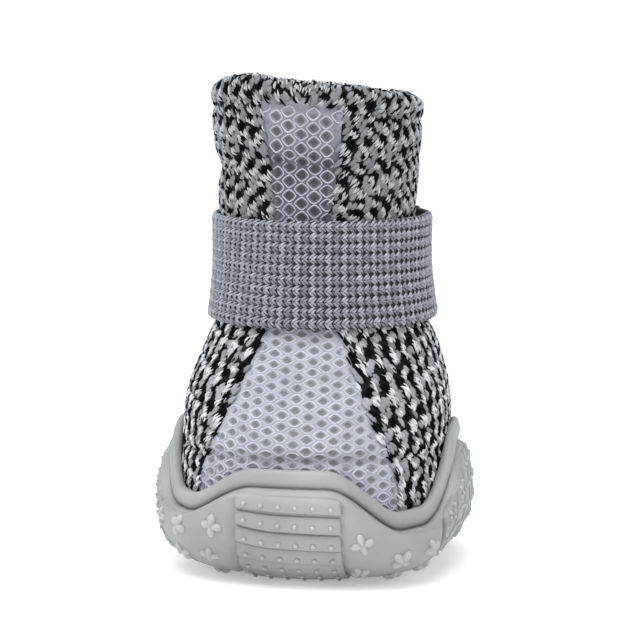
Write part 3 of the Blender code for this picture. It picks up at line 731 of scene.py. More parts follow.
# %% Nodes that finishes share
def noise(tree, size, detail=2.0, stretch=(1, 1, 1)):
    """Noise whose lumps are about that size in metres."""
    place = tree.nodes.new("ShaderNodeTexCoord").outputs["Object"]
    mapped = fed(tree, tree.nodes.new("ShaderNodeMapping"), {"Vector": place, "Scale": stretch})
    inputs = {"Vector": mapped.outputs["Vector"], "Scale": 1 / size, "Detail": detail}
    return fed(tree, tree.nodes.new("ShaderNodeTexNoise"), inputs).outputs["Fac"]


def graded(tree, source, low, high, start=0.3, end=0.7):
    """A colour between two, led by a value."""
    ramp = tree.nodes.new("ShaderNodeValToRGB")
    for element, place, colour in zip(ramp.color_ramp.elements, (start, end), (low, high)):
        element.position = place
        element.color = colour
    return fed(tree, ramp, {"Fac": source}).outputs["Color"]


def ranged(tree, source, low, high):
    """A value brought between two others."""
    inputs = {"Value": source, "To Min": low, "To Max": high}
    return fed(tree, tree.nodes.new("ShaderNodeMapRange"), inputs).outputs["Result"]


def blended(tree, share, first, second, kind="MIX"):
    """Two colours mixed. The share is a value or a number."""
    mix = tree.nodes.new("ShaderNodeMix")
    mix.data_type = "RGBA"
    mix.blend_type = kind
    return fed(tree, mix, {0: share, 6: first, 7: second}).outputs[2]


def reckoned(tree, kind, first, second):
    """A sum or a product of two values."""
    maths = tree.nodes.new("ShaderNodeMath")
    maths.operation = kind
    return fed(tree, maths, {0: first, 1: second}).outputs[0]


def raised(tree, shader, height, depth, strength=1.0):
    """Fine relief on the shader, that deep in metres."""
    inputs = {"Height": height, "Distance": depth, "Strength": strength}
    bump = fed(tree, tree.nodes.new("ShaderNodeBump"), inputs)
    fed(tree, shader, {"Normal": bump.outputs["Normal"]})


def own_value(tree, name):
    """A value that the piece carries on its points."""
    reader = tree.nodes.new("ShaderNodeAttribute")
    reader.attribute_name = name
    return reader.outputs["Fac"]


def own_height(tree, full):
    """The height on the piece, as a share of a full height."""
    place = tree.nodes.new("ShaderNodeTexCoord").outputs["Object"]
    split = fed(tree, tree.nodes.new("ShaderNodeSeparateXYZ"), {"Vector": place})
    return reckoned(tree, "MULTIPLY", split.outputs["Z"], 1 / full)


def ridges(tree, size, *directions):
    """Even ridges that run in each direction on the cloth, by its measured places."""
    place = tree.nodes.new("ShaderNodeUVMap").outputs["UV"]
    inputs = {"Vector": place, "Scale": (1 / size, 1 / size, 1)}
    place = fed(tree, tree.nodes.new("ShaderNodeMapping"), inputs).outputs["Vector"]
    total = 0.0
    for direction in directions:
        texture = tree.nodes.new("ShaderNodeTexWave")
        texture.bands_direction = direction
        fed(tree, texture, {"Vector": place, "Scale": 1.0})
        total = reckoned(tree, "ADD", total, texture.outputs["Fac"])
    return total


print("materials before the boot's own:", len(bpy.data.materials))

# %% Rubber
PAINTED_SHADE_TOP = 18 * MM  # painted shade: the rubber's colour is darkened towards the floor below this height


def rubber_finish(name, low, high):
    """Satin rubber: slow changes of tone, painted shade towards the floor, a fine grain, and a few rubbed
    streaks.
    """
    others = {"Specular IOR Level": 0.42, "Coat Weight": 0.08, "Coat Roughness": 0.4}
    material, tree, shader = plain_shader(name, high, 0.5, others)
    colour = graded(tree, noise(tree, 14 * MM, 3), low, high)
    # Painted shade: the colour darkens towards the floor, down to 0.8 of itself.
    painted_shade_factor = ranged(tree, own_height(tree, PAINTED_SHADE_TOP), 0.80, 1.0)
    rubbed = noise(tree, 1.6 * MM, 4, (1, 1, 3))
    roughness = ranged(tree, rubbed, 0.40, 0.66)
    colour = blended(tree, 1.0, colour, painted_shade_factor, "MULTIPLY")
    fed(tree, shader, {"Base Color": colour, "Roughness": roughness})
    soft = reckoned(tree, "MULTIPLY", rubbed, 1.6)
    grain = reckoned(tree, "ADD", noise(tree, 0.22 * MM, 3), soft)
    raised(tree, shader, grain, 0.03 * MM, 0.7)
    return material


rubber = rubber_finish("grey_rubber", shade(0.53, 0.538, 0.54), shade(0.59, 0.60, 0.603))
# Painted highlight: the studs and dots get this lighter copy of the rubber.
rubber_painted_highlight = rubber_finish("grey_rubber_tops", shade(0.62, 0.63, 0.63), shade(0.68, 0.69, 0.69))
print("finishes:", rubber.name, rubber_painted_highlight.name)

# %% [markdown]
# The sole of the real boot is one moulding. Its smooth body is a loft here: rings that follow
# the tread's curve from the floor to a groove, over a soft rim band and down into the cup. The
# four corner fields stand a little proud, which leaves grooves beside the ribbed panels.

# %% The body of the sole
TOE_PANEL_WIDTH = 18.9 * MM
HEEL_PANEL_WIDTH = 21.5 * MM
SOLE_PANEL_WIDTH = 17.0 * MM
SIDE_RIB_START = -19.0 * MM
SIDE_RIB_PITCH = 5.0 * MM
SIDE_RIB_COUNT = 6
SIDE_RIB_INNER = 11.5 * MM  # how near the side ribs come to the middle of the sole
SIDE_RIB_END = SIDE_RIB_START + SIDE_RIB_COUNT * SIDE_RIB_PITCH
CORNER_RISE = 0.85 * MM
BETWEEN_RISE = 0.65  # of the rubber between the side ribs, as a share of CORNER_RISE
GROOVE_SOFT = 0.7 * MM
PANEL_GROOVE = 0.7 * MM  # from a ribbed panel to the foot of a corner field
HEEL_GROOVE = 0.4 * MM  # from the last side rib to the heel's corner field
UNDERCUT = 0.9 * MM  # how far the tread draws in under the band
SOLE_COLUMNS = 288
TREAD_RINGS = (0, 0.02, 0.05, 0.09, 0.14, 0.2, 0.27, 0.35, 0.43, 0.51, 0.6, 0.68, 0.76, 0.84)
TREAD_RINGS += (0.90, 0.93, 0.955, 0.98, 1.0)
# Columns: share of the band's height, inset over its own face, share of its lean.
BAND_RINGS = (
    (0.000, GROOVE_DEPTH, 1.0),
    (0.050, GROOVE_DEPTH, 1.0),
    (0.080, 0.42 * MM, 1.0),
    (0.160, 0.08 * MM, 1.0),
    (0.340, -0.10 * MM, 1.0),
    (0.600, 0.0, 1.0),
    (0.780, 0.15 * MM, 1.0),
    (0.900, 0.38 * MM, 0.9),
    (0.970, 0.70 * MM, 0.8),
    (1.000, 1.10 * MM, 0.6),
    (0.985, 1.55 * MM, 0.4),
    (0.920, 1.95 * MM, 0.2),
    (0.800, BAND_THICKNESS, 0.0),
)


def beyond(distance):
    """0 up to an edge, and eased to 1 past it."""
    return soft_step(0, GROOVE_SOFT, distance)


def corner_share(points, climb):
    """1 on the four corner fields, less between the ribs, 0 in the grooves beside them."""
    x, y = np.abs(points[..., 0]), points[..., 1]
    toe_side, heel_side = SIDE_RIB_START - y, y - SIDE_RIB_END
    toe = beyond(toe_side - PANEL_GROOVE) * beyond(x - TOE_PANEL_WIDTH / 2 - PANEL_GROOVE)
    heel = beyond(heel_side - HEEL_GROOVE) * beyond(x - HEEL_PANEL_WIDTH / 2 - PANEL_GROOVE)
    between = beyond(-toe_side - PANEL_GROOVE) * beyond(-heel_side - HEEL_GROOVE)
    return (toe + heel + BETWEEN_RISE * between) * soft_window(0.0, 0.06, 0.91, 0.97, climb)


def sole_rings():
    """Rings from under the sole, over the rim, to the inner floor."""
    turns = angles_round(SOLE_COLUMNS)
    rings = []
    for climb in TREAD_RINGS:
        ring, out = on_tread(turns, climb)
        rise = CORNER_RISE * corner_share(ring, climb) - UNDERCUT * soft_step(0.93, 1, climb)
        rings.append(ring + out * rise[:, None])
    for share, inset, lean in BAND_RINGS:
        height = rim_top(turns) - BAND_HEIGHT * (1 - share)
        over = BAND_LEAN * np.maximum(0, height - RIM_HEIGHT) * lean
        rings.append(outline_ring(turns, BAND_INSET + inset + over, height))
    foot = CUP_INSET + INNER_CHAMFER_RUN
    for inset, height in ((CUP_INSET, SEAT), (foot, INNER_FLOOR), (foot + 8 * MM, INNER_FLOOR)):
        rings.append(outline_ring(turns, inset, height))
    return rings


sole_body = ringed_piece("sole_body", sole_rings(), rubber, 50)
print("sole_body triangles:", triangles(sole_body))

# %% [markdown]
# The ribs lie across the toe and the heel like shingles: each is highest along its lower edge.
# They are closed bars that follow the tread, with every edge rounded by a Bevel modifier, and
# small moulded dots stand in rows on them.

# %% Places on the tread
RIB_PITCH = 3.6 * MM
RIB_GAP = 0.5 * MM
RIB_TOP = 0.93  # the climb at which they end
RIB_SAMPLES = 400


def turn_for(x, climb, end):
    """The angle where the tread is x from the middle, at the toe (1) or the heel (-1)."""
    turn = np.where(end > 0, 0.0, math.pi) + 0 * x
    for _ in range(12):
        turn = np.arctan2(x, end * np.abs(tread_point(turn, climb)[..., 1]))
    return turn


def side_places(y, climb):
    """Points and outward directions of the tread at places along its +X side."""
    x = np.full(np.broadcast(y, climb).shape, SOLE_WIDTH / 2)
    for _ in range(6):
        turn = np.arctan2(x, -y)
        height, inset = tread_section(turn, climb)
        half_length = SOLE_LENGTH / 2 - inset
        share = np.minimum(1, np.abs(y) / half_length)
        side = (1 - share**OUTLINE_POWER) ** (1 / OUTLINE_POWER)
        x = (SOLE_WIDTH / 2 - inset) * side * (1 - FOREFOOT_SPREAD * y / half_length)
    return np.stack([x, y, height], -1), tread_normal(turn, climb)


def rib_edges(end):
    """Climbs of the lower and upper edge of each wall rib, evenly spaced."""
    climbs = np.linspace(0, RIB_TOP, RIB_SAMPLES)
    run = arc_lengths(tread_point(0.0 if end > 0 else math.pi, climbs), 0)
    count = round(run[-1] / RIB_PITCH)
    pitch = run[-1] / count
    starts = np.arange(count) * pitch
    low = np.interp(starts + RIB_GAP / 2, run, climbs)
    high = np.interp(starts + pitch - RIB_GAP / 2, run, climbs)
    return list(zip(low, high))


print("ribs on the toe:", len(rib_edges(1)), "on the heel:", len(rib_edges(-1)))

# %% Ribs
RIB_SLOPE = 0.7  # how much lower a rib is at its upper edge, as a share of LUG_HEIGHT
SIDE_RIB_SLOPE = 0.3
SIDE_RIB_HEIGHT = 0.88  # as a share of LUG_HEIGHT
BADGE_PLACE = -3.5 * MM  # the roundel under the sole, along its length
BADGE_RADIUS = 7.0 * MM
DOT_PITCH = 3.1 * MM
SIDE_RIB_RINGS = (0.93, 0.86, 0.78, 0.69, 0.6, 0.5, 0.42, 0.34, 0.27, 0.2, 0.14, 0.09, 0.05)
SIDE_RIB_RINGS += (0.02, 0.004)
SIDE_DOT_CLIMBS = (0.86, 0.72, 0.58, 0.44, 0.30, 0.18)
bars, bar_faces, dots = [], [], []


def add_bar(stations):
    """A closed bar through stations of the same number of corners."""
    first = sum(len(block) for block in bars)
    bars.append(stations.reshape(-1, 3))
    bar_faces.extend(tube_faces(*stations.shape[:2], first=first))


def rib_bend(x, width, end, climb):
    """How far a rib's ends climb: at the toe the end towards -X rises a little."""
    share = x / (width / 2)
    rise = 0.05 * np.clip(-share, 0, 1) ** 2 - 0.012 * np.clip(share, 0, 1)
    return rise * min(1, climb / 0.3) if end > 0 else 0 * x


def shingle(foot, out_foot, head, out_head, slope, height=1.0):
    """Corners of a rib's section: rooted, highest near its lower edge, lower above."""
    slope = np.reshape(slope, (-1, 1)) * np.ones((len(foot), 1))
    middle = foot * 0.45 + head * 0.55
    out_middle = unit(out_foot + out_head)
    proud = LUG_HEIGHT * height
    corners = (
        foot - out_foot * LUG_ROOT,
        foot + out_foot * proud,
        middle + out_middle * proud * (1 - 0.25 * slope),
        head + out_head * proud * (1 - slope),
        head - out_head * LUG_ROOT,
    )
    return np.stack(corners, 1)


for end, width in ((1, TOE_PANEL_WIDTH), (-1, HEEL_PANEL_WIDTH)):
    x = np.linspace(-width / 2, width / 2, 19)
    dot_x = (np.arange(6) - 2.5) * DOT_PITCH
    for low, high in rib_edges(end):
        edges = []
        for climb in (low, high):
            line = climb + rib_bend(x, width, end, climb)
            edges += on_tread(turn_for(x, line, end), line)
        add_bar(shingle(*edges, RIB_SLOPE))
        climb = low * 0.68 + high * 0.32 + rib_bend(dot_x, width, end, low)
        turns = turn_for(dot_x, climb, end)
        spot, out = on_tread(turns, climb)
        along = np.stack([np.cos(turns), np.sin(turns), 0 * turns], -1)
        dots.append((spot + out * LUG_HEIGHT * 0.9, out, along))
    flat_end = SOLE_LENGTH / 2 - TREAD_CURVE - LUG_HEIGHT - RIB_GAP / 2
    nearest = BADGE_RADIUS + 2 * MM - end * BADGE_PLACE
    for rib in range(int((flat_end - nearest) / RIB_PITCH)):
        low = -end * (flat_end - rib * RIB_PITCH)
        high = low + end * (RIB_PITCH - RIB_GAP)
        half, root = SOLE_PANEL_WIDTH / 2, LUG_HEIGHT + LUG_ROOT
        corners = [(low, root), (low, 0), (high, 0), (high, root)]
        add_bar(np.array([[(x, y, z) for y, z in corners] for x in (-half, half)]))

climbs = np.array(SIDE_RIB_RINGS)
rib_width = SIDE_RIB_PITCH - RIB_GAP
for hand in (-1, 1):
    mirror = np.array([hand, 1, 1])
    for low in SIDE_RIB_START + np.arange(SIDE_RIB_COUNT) * SIDE_RIB_PITCH:
        front, out_front = side_places(np.full(len(climbs), low), climbs)
        rear, out_rear = side_places(np.full(len(climbs), low + rib_width), climbs)
        keep = (front[:, 0] > SIDE_RIB_INNER) & (rear[:, 0] > SIDE_RIB_INNER)
        slope = SIDE_RIB_SLOPE * np.minimum(1, climbs[keep] / 0.4)
        sides = (front[keep], out_front[keep], rear[keep], out_rear[keep])
        add_bar(shingle(*sides, slope, SIDE_RIB_HEIGHT) * mirror)
        for part in (0.3, 0.68):
            at = np.full(len(SIDE_DOT_CLIMBS), low + part * rib_width)
            spot, out = side_places(at, np.array(SIDE_DOT_CLIMBS))
            along = np.cross(out, np.array([0.0, 1.0, 0.0]))
            place = spot + out * LUG_HEIGHT * SIDE_RIB_HEIGHT * (1 - 0.2 * part)
            dots.append((place * mirror, out * mirror, along * mirror))

sole_ribs = face_outwards(make_piece("sole_ribs", np.concatenate(bars), bar_faces, rubber))
rounding = sole_ribs.modifiers.new("Round", "BEVEL")
rounding.width = 0.28 * MM
rounding.segments = 2
rounding.limit_method = "ANGLE"
rounding.angle_limit = math.radians(35)
applied(sole_ribs)
sole_ribs.data.shade_smooth()
sole_ribs.data.set_sharp_from_angle(angle=math.radians(60))
print("sole_ribs triangles:", triangles(sole_ribs))

# %% Star studs
STUD_SPAN = 4.7 * MM
STUD_TWIST = math.radians(12)
# Columns: side (1 is +X, -1 is -X, 0 is both), degrees round from the toe, climb, size share,
# twist in degrees.
STUDS = (
    (1, 22, 0.44, 1.00, 10),
    (1, 35, 0.41, 1.00, 40),
    (1, 47, 0.50, 0.90, 15),
    (1, 24, 0.16, 0.90, 30),
    (1, 38, 0.13, 0.90, 0),
    (1, 50, 0.20, 0.85, 50),
    (-1, 23, 0.53, 1.00, 20),
    (-1, 37, 0.63, 1.00, 40),
    (-1, 50, 0.60, 0.85, 15),
    (-1, 27, 0.28, 0.90, 30),
    (-1, 40, 0.30, 1.00, 0),
    (-1, 52, 0.32, 0.85, 50),
    (-1, 35, 0.06, 0.85, 20),
    (0, 120, 0.72, 0.80, 35),
    (0, 133, 0.70, 0.85, 0),
    (0, 146, 0.68, 0.80, 25),
    (0, 117, 0.36, 0.90, 10),
    (0, 130, 0.36, 1.00, 45),
    (0, 144, 0.36, 1.00, 20),
    (0, 119, 0.12, 0.90, 5),
    (0, 134, 0.12, 1.00, 30),
    (0, 148, 0.12, 0.80, 10),
    (0, 136, 0.02, 0.80, 55),
)


def star_shape():
    """A low stud with four rounded lobes, dished in the middle."""
    around = 32
    share = np.array([0.22, 0.45, 0.66, 0.84, 0.96, 1.0])[:, None]
    lobe = 0.40 + 0.60 * np.abs(np.cos(2 * angles_round(around))) ** 1.2
    dome = np.sqrt(1 - share**2) * (0.6 + 0.4 * lobe)
    height = 0.50 * MM * (dome + np.sin(math.pi * share) * lobe)
    height[-1] -= 0.9 * MM
    return domed_shape(0.36 * MM, STUD_SPAN / 2 * lobe * share, height, around)


def kept_off_floor(piece):
    """Presses a piece flat where it would reach below the floor."""
    points = np.zeros(len(piece.data.vertices) * 3, np.float32)
    piece.data.vertices.foreach_get("co", points)
    points[2::3] = np.maximum(points[2::3], 0.0)
    piece.data.vertices.foreach_set("co", points)
    return piece


stud_rows = np.array(STUDS, float)
stud_blocks = []
for hand in (-1, 1):
    rows = stud_rows[stud_rows[:, 0] * hand >= 0]
    turns = np.radians(rows[:, 1]) * hand
    spot, out = on_tread(turns, rows[:, 2])
    across = np.stack([np.cos(turns), np.sin(turns), 0 * turns], -1)
    across = unit(across - out * np.sum(across * out, -1, keepdims=True))
    twist = (np.radians(rows[:, 4] * hand) + STUD_TWIST)[:, None]
    along = across * np.cos(twist) + np.cross(out, across) * np.sin(twist)
    stud_blocks.append((spot + out * CORNER_RISE * 0.9, out, along, np.repeat(rows[:, 3:4], 3, 1)))
sole_studs = lay_on_points("sole_studs", star_shape(), joined(stud_blocks), rubber_painted_highlight)
kept_off_floor(sole_studs)

# %% Dots and the plain roundel
# Columns: radius of a ring of dots round the roundel's middle, how many, height over the floor.
DOT_RINGS = (
    (9.4 * MM, 26, LUG_HEIGHT),
    (3.9 * MM, 12, 0.5 * MM),
)
# Columns: distance from the roundel's middle and height over the floor, both in mm.
ROUNDEL = (
    (2.4, 0.0),
    (2.6, 0.1),
    (2.9, 0.45),
    (3.1, 0.5),
    (5.3, 0.5),
    (5.5, 0.45),
    (5.8, 0.1),
    (6.0, 0.0),
    (6.8, 0.0),
    (7.0, 0.2),
    (7.0, 1.8),
)


def dot_shape(radius, height):
    """A small dome whose foot is sunk into the rubber."""
    share = np.array([1 / 3, 2 / 3, 1.0])[:, None]
    level = height * np.sqrt(1 - share**2)
    level[-1] -= 0.3 * height
    return domed_shape(height, radius * share, level, 10)


def make_roundel():
    """The plain disc under the sole: a boss and a ring with a shallow dish between."""
    around, rings = 72, len(ROUNDEL)
    reach, height = np.array(ROUNDEL).T[:, :, None] * MM
    body = turned_points(reach, height, around).reshape(-1, 3)
    points = np.concatenate([[(0, 0, 0)], body, [(0, 0, height[-1, 0])]]) + (0, BADGE_PLACE, 0)
    faces = grid_faces(rings, around, wrap_columns=True, first=1)
    faces += fan_faces(0, 1, around) + fan_faces(len(body) + 1, len(body) + 1 - around, around)
    return face_outwards(make_piece("sole_roundel", points, faces, rubber, smooth_angle=40))


for radius, count, height in DOT_RINGS:
    ring = turned_points(np.array([[radius]]), height, count)[0] + (0, BADGE_PLACE, 0)
    ring = ring[np.abs(ring[:, 0]) < SIDE_RIB_INNER - 1 * MM]
    dots.append((ring, np.tile([0.0, 0.0, -1.0], (len(ring), 1)), np.tile([1.0, 0.0, 0.0], (len(ring), 1))))
dot_places = full_size(joined(dots))
sole_dots = lay_on_points("sole_dots", dot_shape(0.50 * MM, 0.40 * MM), dot_places, rubber_painted_highlight)
kept_off_floor(sole_dots)
sole_roundel = make_roundel()
print("sole_roundel triangles:", triangles(sole_roundel))

# %% [markdown]
# The upper is a sock of thick jacquard knit over a thin lining. Its wall is one closed grid:
# up the outside, round the rolled hem and down the lining. Its main creases are given in a table,
# each one a soft trough between two places on the boot, and the yarns laid on it later follow.

# %% Creases
# Columns: from degrees round and height in mm, to degrees round and height in mm, half width in
# mm, depth in mm. A negative depth is a ridge.
CREASES = (
    (-180, 23.9, 180, 23.9, 1.0, 0.75),
    (-180, 25.9, 180, 25.9, 1.2, -0.30),
    (-28, 79.8, 42, 77.0, 1.5, 0.75),
    (-24, 82.2, 30, 79.8, 1.5, -0.35),
    (38, 77.2, 95, 80.5, 1.6, 0.60),
    (-125, 75.5, -30, 79.5, 2.0, 0.80),
    (22, 86.5, 70, 88.5, 1.4, 0.45),
    (70, 83.0, 120, 78.0, 1.8, 0.40),
    (-120, 82.0, -70, 78.5, 1.8, 0.40),
    (-60, 88.5, -30, 86.5, 1.5, 0.35),
    (-38, 45.5, -70, 39.0, 1.8, 0.45),
    (40, 45.0, 75, 38.0, 1.8, 0.45),
    (-30, 42.0, 25, 43.5, 2.2, 0.20),
    (-15, 30.5, -45, 27.5, 1.6, 0.25),
    (18, 29.5, 48, 27.0, 1.6, 0.25),
    (120, 44.0, 165, 40.0, 2.0, 0.50),
    (-165, 40.5, -120, 44.0, 2.0, 0.50),
    (125, 34.0, 170, 31.0, 2.0, 0.35),
    (-170, 30.5, -125, 34.5, 2.0, 0.35),
    (135, 76.0, 172, 79.0, 1.8, 0.45),
    (-172, 78.0, -135, 75.0, 1.8, 0.45),
)
GIRTH_RADIUS = 21 * MM
CREASE_FADE = 4 * MM


def crease_depth(turn, height):
    """How far the cloth goes in at places round the boot."""
    turn, height = np.broadcast_arrays(wrapped(turn), height)
    total = np.zeros(turn.shape)
    for from_deg, from_mm, to_deg, to_mm, width, depth in CREASES:
        start = np.array([math.radians(from_deg) * GIRTH_RADIUS, from_mm * MM])
        run = np.array([math.radians(to_deg) * GIRTH_RADIUS, to_mm * MM]) - start
        length = math.hypot(*run)
        run = run / length
        beyond_x, beyond_z = turn * GIRTH_RADIUS - start[0], height - start[1]
        along = beyond_x * run[0] + beyond_z * run[1]
        off = beyond_z * run[0] - beyond_x * run[1]
        fade = soft_window(0, CREASE_FADE, length - CREASE_FADE, length, along)
        if abs(to_deg - from_deg) == 360:
            fade = 1.0
        total = total + depth * MM * np.exp(-((off / (width * MM)) ** 2)) * fade
    return total


def slow_lumps(turn, height):
    """Slight waves that hand-made cloth never loses."""
    first = np.sin(3 * turn + 210 * height) * np.sin(150 * height + 1.3)
    second = np.sin(5 * turn - 170 * height + 0.7)
    return (0.16 * first + 0.10 * second) * MM


def cloth_rise(turn, level):
    """How far the visible cloth stands off the plain form."""
    height = upper_height(turn, level)
    calm = soft_step(0.12, 0.2, level)
    return calm * (slow_lumps(turn, height) - crease_depth(turn, height))


print("creases:", len(CREASES))

# %% The rows of the wall
LIP_RADIUS = UPPER_WALL / 2
LIP_LEVEL = 1 - LIP_RADIUS / UPPER_RISE
SLIT_WIDTH_LOW = 1.0 * MM
SLIT_WIDTH_TOP = 2.6 * MM
SLIT_SHUT = 0.02 * MM  # its width below its lower end
PATCH_EDGE = 0.5 * MM / (SHAFT_WIDTH / 2)  # how softly the wall steps in, as an angle
OUTER_ROWS = 130
LIP_ROWS = 9
WALL_COLUMNS = 240

outer_levels = np.linspace(0, LIP_LEVEL, OUTER_ROWS)
lip = np.linspace(0, math.pi, LIP_ROWS + 2)[1:-1]
lip_levels = LIP_LEVEL + LIP_RADIUS / UPPER_RISE * np.sin(lip)
row_levels = np.concatenate([outer_levels, lip_levels, outer_levels[::-1]])
lip_out = LIP_RADIUS * (np.cos(lip) - 1)
row_out = np.concatenate([np.zeros(OUTER_ROWS), lip_out, np.full(OUTER_ROWS, -UPPER_WALL)])


def slit_turn(level):
    """Half the angle that the slit at the back takes."""
    open_share = soft_step(SLIT_LEVEL - 0.01, SLIT_LEVEL, level)
    climb = np.clip((level - SLIT_LEVEL) / (1 - SLIT_LEVEL), 0, 1)
    width = SLIT_WIDTH_LOW + (SLIT_WIDTH_TOP - SLIT_WIDTH_LOW) * climb
    return (width * open_share + SLIT_SHUT) / 2 / SHAFT_BACK


def recess(turn, level):
    """How far the wall is let in under the front panel and the back stay."""
    edge = panel_turn(level)
    panel = 1 - soft_step(edge - 1.5 * PATCH_EDGE, edge - 0.5 * PATCH_EDGE, np.abs(turn))
    panel = panel * (1 - soft_step(PANEL_TOP - 0.006, PANEL_TOP, level))
    stay = turn_at(STAY_WIDTH / 2, level, True)
    back_share = soft_step(stay + 0.5 * PATCH_EDGE, stay + 1.5 * PATCH_EDGE, np.abs(turn))
    return PANEL_RECESS * np.maximum(panel, back_share)


half_turns = math.pi - slit_turn(row_levels)
turn_grid = half_turns[:, None] * np.linspace(-1, 1, WALL_COLUMNS + 1)
level_grid = np.repeat(row_levels[:, None], WALL_COLUMNS + 1, 1)
inside_share = np.clip(-row_out / UPPER_WALL, 0, 1)[:, None]
rise = cloth_rise(turn_grid, level_grid)
let_in = recess(turn_grid, level_grid) * (1 - inside_share)
wall_points = upper_point(turn_grid, level_grid, row_out[:, None] + rise - let_in)
print("wall grid:", wall_points.shape[:2])

# %% The knit as two measured cloths
SIDE_TURN = math.radians(95)
KNIT_ROWS = slice(6, OUTER_ROWS + LIP_ROWS + 9)
knit_face = upper_point(turn_grid, level_grid, row_out[:, None] + rise)[KNIT_ROWS]


def side_cloth(hand):
    """The outside, the hem and the first of the lining on one side, measured from its middle."""
    middle = WALL_COLUMNS // 2
    part = slice(middle, None) if hand > 0 else slice(0, middle + 1)
    turns, points = turn_grid[KNIT_ROWS, part], knit_face[:, part]
    across = arc_lengths(points, 1)
    at_side = np.array([np.interp(hand * SIDE_TURN, *row) for row in zip(turns, across)])
    line = int(np.argmin(np.abs(turns[0] - hand * SIDE_TURN)))
    up = arc_lengths(points[:, line], 0)
    return Cloth(points, across - at_side[:, None], up), turns


right_cloth, right_turns = side_cloth(1)
left_cloth, left_turns = side_cloth(-1)
print("knit cloth, mm high:", round(right_cloth.up[-1] / MM, 1))


# %% Knit base and lining
def woven_finish(name, low, high, size, sheen=0.25):
    """A fine close cloth: small threads both ways, and a soft sheen at its edges."""
    others = {"Sheen Weight": sheen, "Sheen Roughness": 0.5, "Specular IOR Level": 0.2}
    material, tree, shader = plain_shader(name, high, 0.9, others)
    fed(tree, shader, {"Base Color": graded(tree, noise(tree, 5 * MM, 3), low, high)})
    fluff = noise(tree, 0.25 * MM, 3)
    raised(tree, shader, reckoned(tree, "ADD", ridges(tree, size, "X", "Y"), fluff), 0.08 * MM)
    return material


def set_places(piece, across, up):
    """Writes the cloth's measured places into the piece's UV map."""
    layer = piece.data.uv_layers.new(name="cloth")
    loops = np.zeros(len(piece.data.loops), np.int32)
    piece.data.loops.foreach_get("vertex_index", loops)
    pairs = np.stack([across.ravel(), up.ravel()], -1)[loops]
    layer.data.foreach_set("uv", pairs.astype(np.float32).ravel())


def make_upper_wall():
    """The closed wall: outside, hem and lining, and the two edges of the slit."""
    rows, columns = wall_points.shape[:2]
    faces = grid_faces(rows, columns, wrap_rows=True)
    edges = [(row, row + 1, rows - 2 - row, rows - 1 - row) for row in range(rows // 2 - 1)]
    if rows % 2:
        edges.append((rows // 2 - 1, rows // 2, rows // 2 + 1))
    for column in (0, columns - 1):
        faces += [tuple(row * columns + column for row in edge) for edge in edges]
    wall = make_piece("upper_wall", wall_points, faces, knit_base, lining, smooth_angle=60)
    face_outwards(wall)
    set_places(wall, arc_lengths(wall_points, 1), arc_lengths(wall_points, 0))
    first_row = np.array([min(face) for face in faces]) // columns
    inside = (first_row >= OUTER_ROWS + LIP_ROWS + 4).astype(np.int32)
    wall.data.polygons.foreach_set("material_index", inside)
    return wall


knit_dark, knit_pale = shade(0.02, 0.02, 0.03), shade(0.10, 0.105, 0.115)
knit_base = woven_finish("knit_ground", knit_dark, knit_pale, 1.1 * MM, sheen=0.0)
lining = woven_finish("lining_cloth", shade(0.42, 0.43, 0.45), shade(0.50, 0.51, 0.53), 0.9 * MM)
upper_wall = make_upper_wall()
print("upper_wall triangles:", triangles(upper_wall))

# %% [markdown]
# The knit's picture repeats in slanting courses. One course in three has blocks of about five
# dark yarns, each ending in a tuft of pale ones. The two between have two or three dark strokes
# beside pale ones, and broad grey yarns fill the rest. Each yarn is a bowed spindle, laid by the
# tree above. The yarns slope one way on the foot and the other way on the shaft, and they cover
# the cut edge beside the mesh panel.

# %% Which places are knit
STRAP_HIDES = (STRAP_HEIGHT + 3.0 * MM, STRAP_HEIGHT + STRAP_WIDTH - 2.0 * MM)
CHANGE_HEIGHT = STRAP_HEIGHT + 8 * MM  # where the yarns change their slope, under the strap
HEM_OVER_PANEL = PANEL_TOP - 0.022  # the level from which the hem's yarns run over the panel


def seen_past_strap(height):
    """Which heights the strap doesn't hide."""
    return (height < STRAP_HIDES[0]) | (height > STRAP_HIDES[1])


def kept_places(cloth, turns, u, v, hand, margin):
    """Which places lie on the knit where it can be seen, and how high they are."""
    row = np.clip(np.searchsorted(cloth.up, v) - 1, 0, len(cloth.up) - 1)
    turn = np.array([np.interp(a, cloth.across[r], turns[r]) for a, r in zip(u, row)])
    level = row_levels[KNIT_ROWS][row]
    height = upper_height(turn, level)
    keep = (v > cloth.up[0]) & (v < cloth.up[-1])
    keep &= (u > cloth.across[row, 0]) & (u < cloth.across[row, -1])
    keep &= (np.abs(turn) > panel_turn(level) - margin) | (level > HEM_OVER_PANEL)
    inside = row > OUTER_ROWS + LIP_ROWS - KNIT_ROWS.start
    keep &= (np.abs(turn) < turn_at(STAY_WIDTH / 2 - 0.3 * MM, level, True)) | inside
    keep &= height > rim_top(turn) - 3.2 * MM
    keep &= seen_past_strap(height) & (turn * hand > 0)
    return keep, height


# %% Yarn groups in courses
FOOT_BLOCK = 3.9 * MM
SHAFT_BLOCK = 3.4 * MM
COURSE_STEP = 2.15 * MM
COURSE_SHIFT = 0.63  # how far each course is moved on, as a share of a block
COURSE_SLOPE = 0.21
YARN_LEAN = math.radians(51)
YARN_STEP = 0.39 * MM
YARN_BREADTH = {"grey": 2.3, "dark": 1.0, "pale": 0.85}
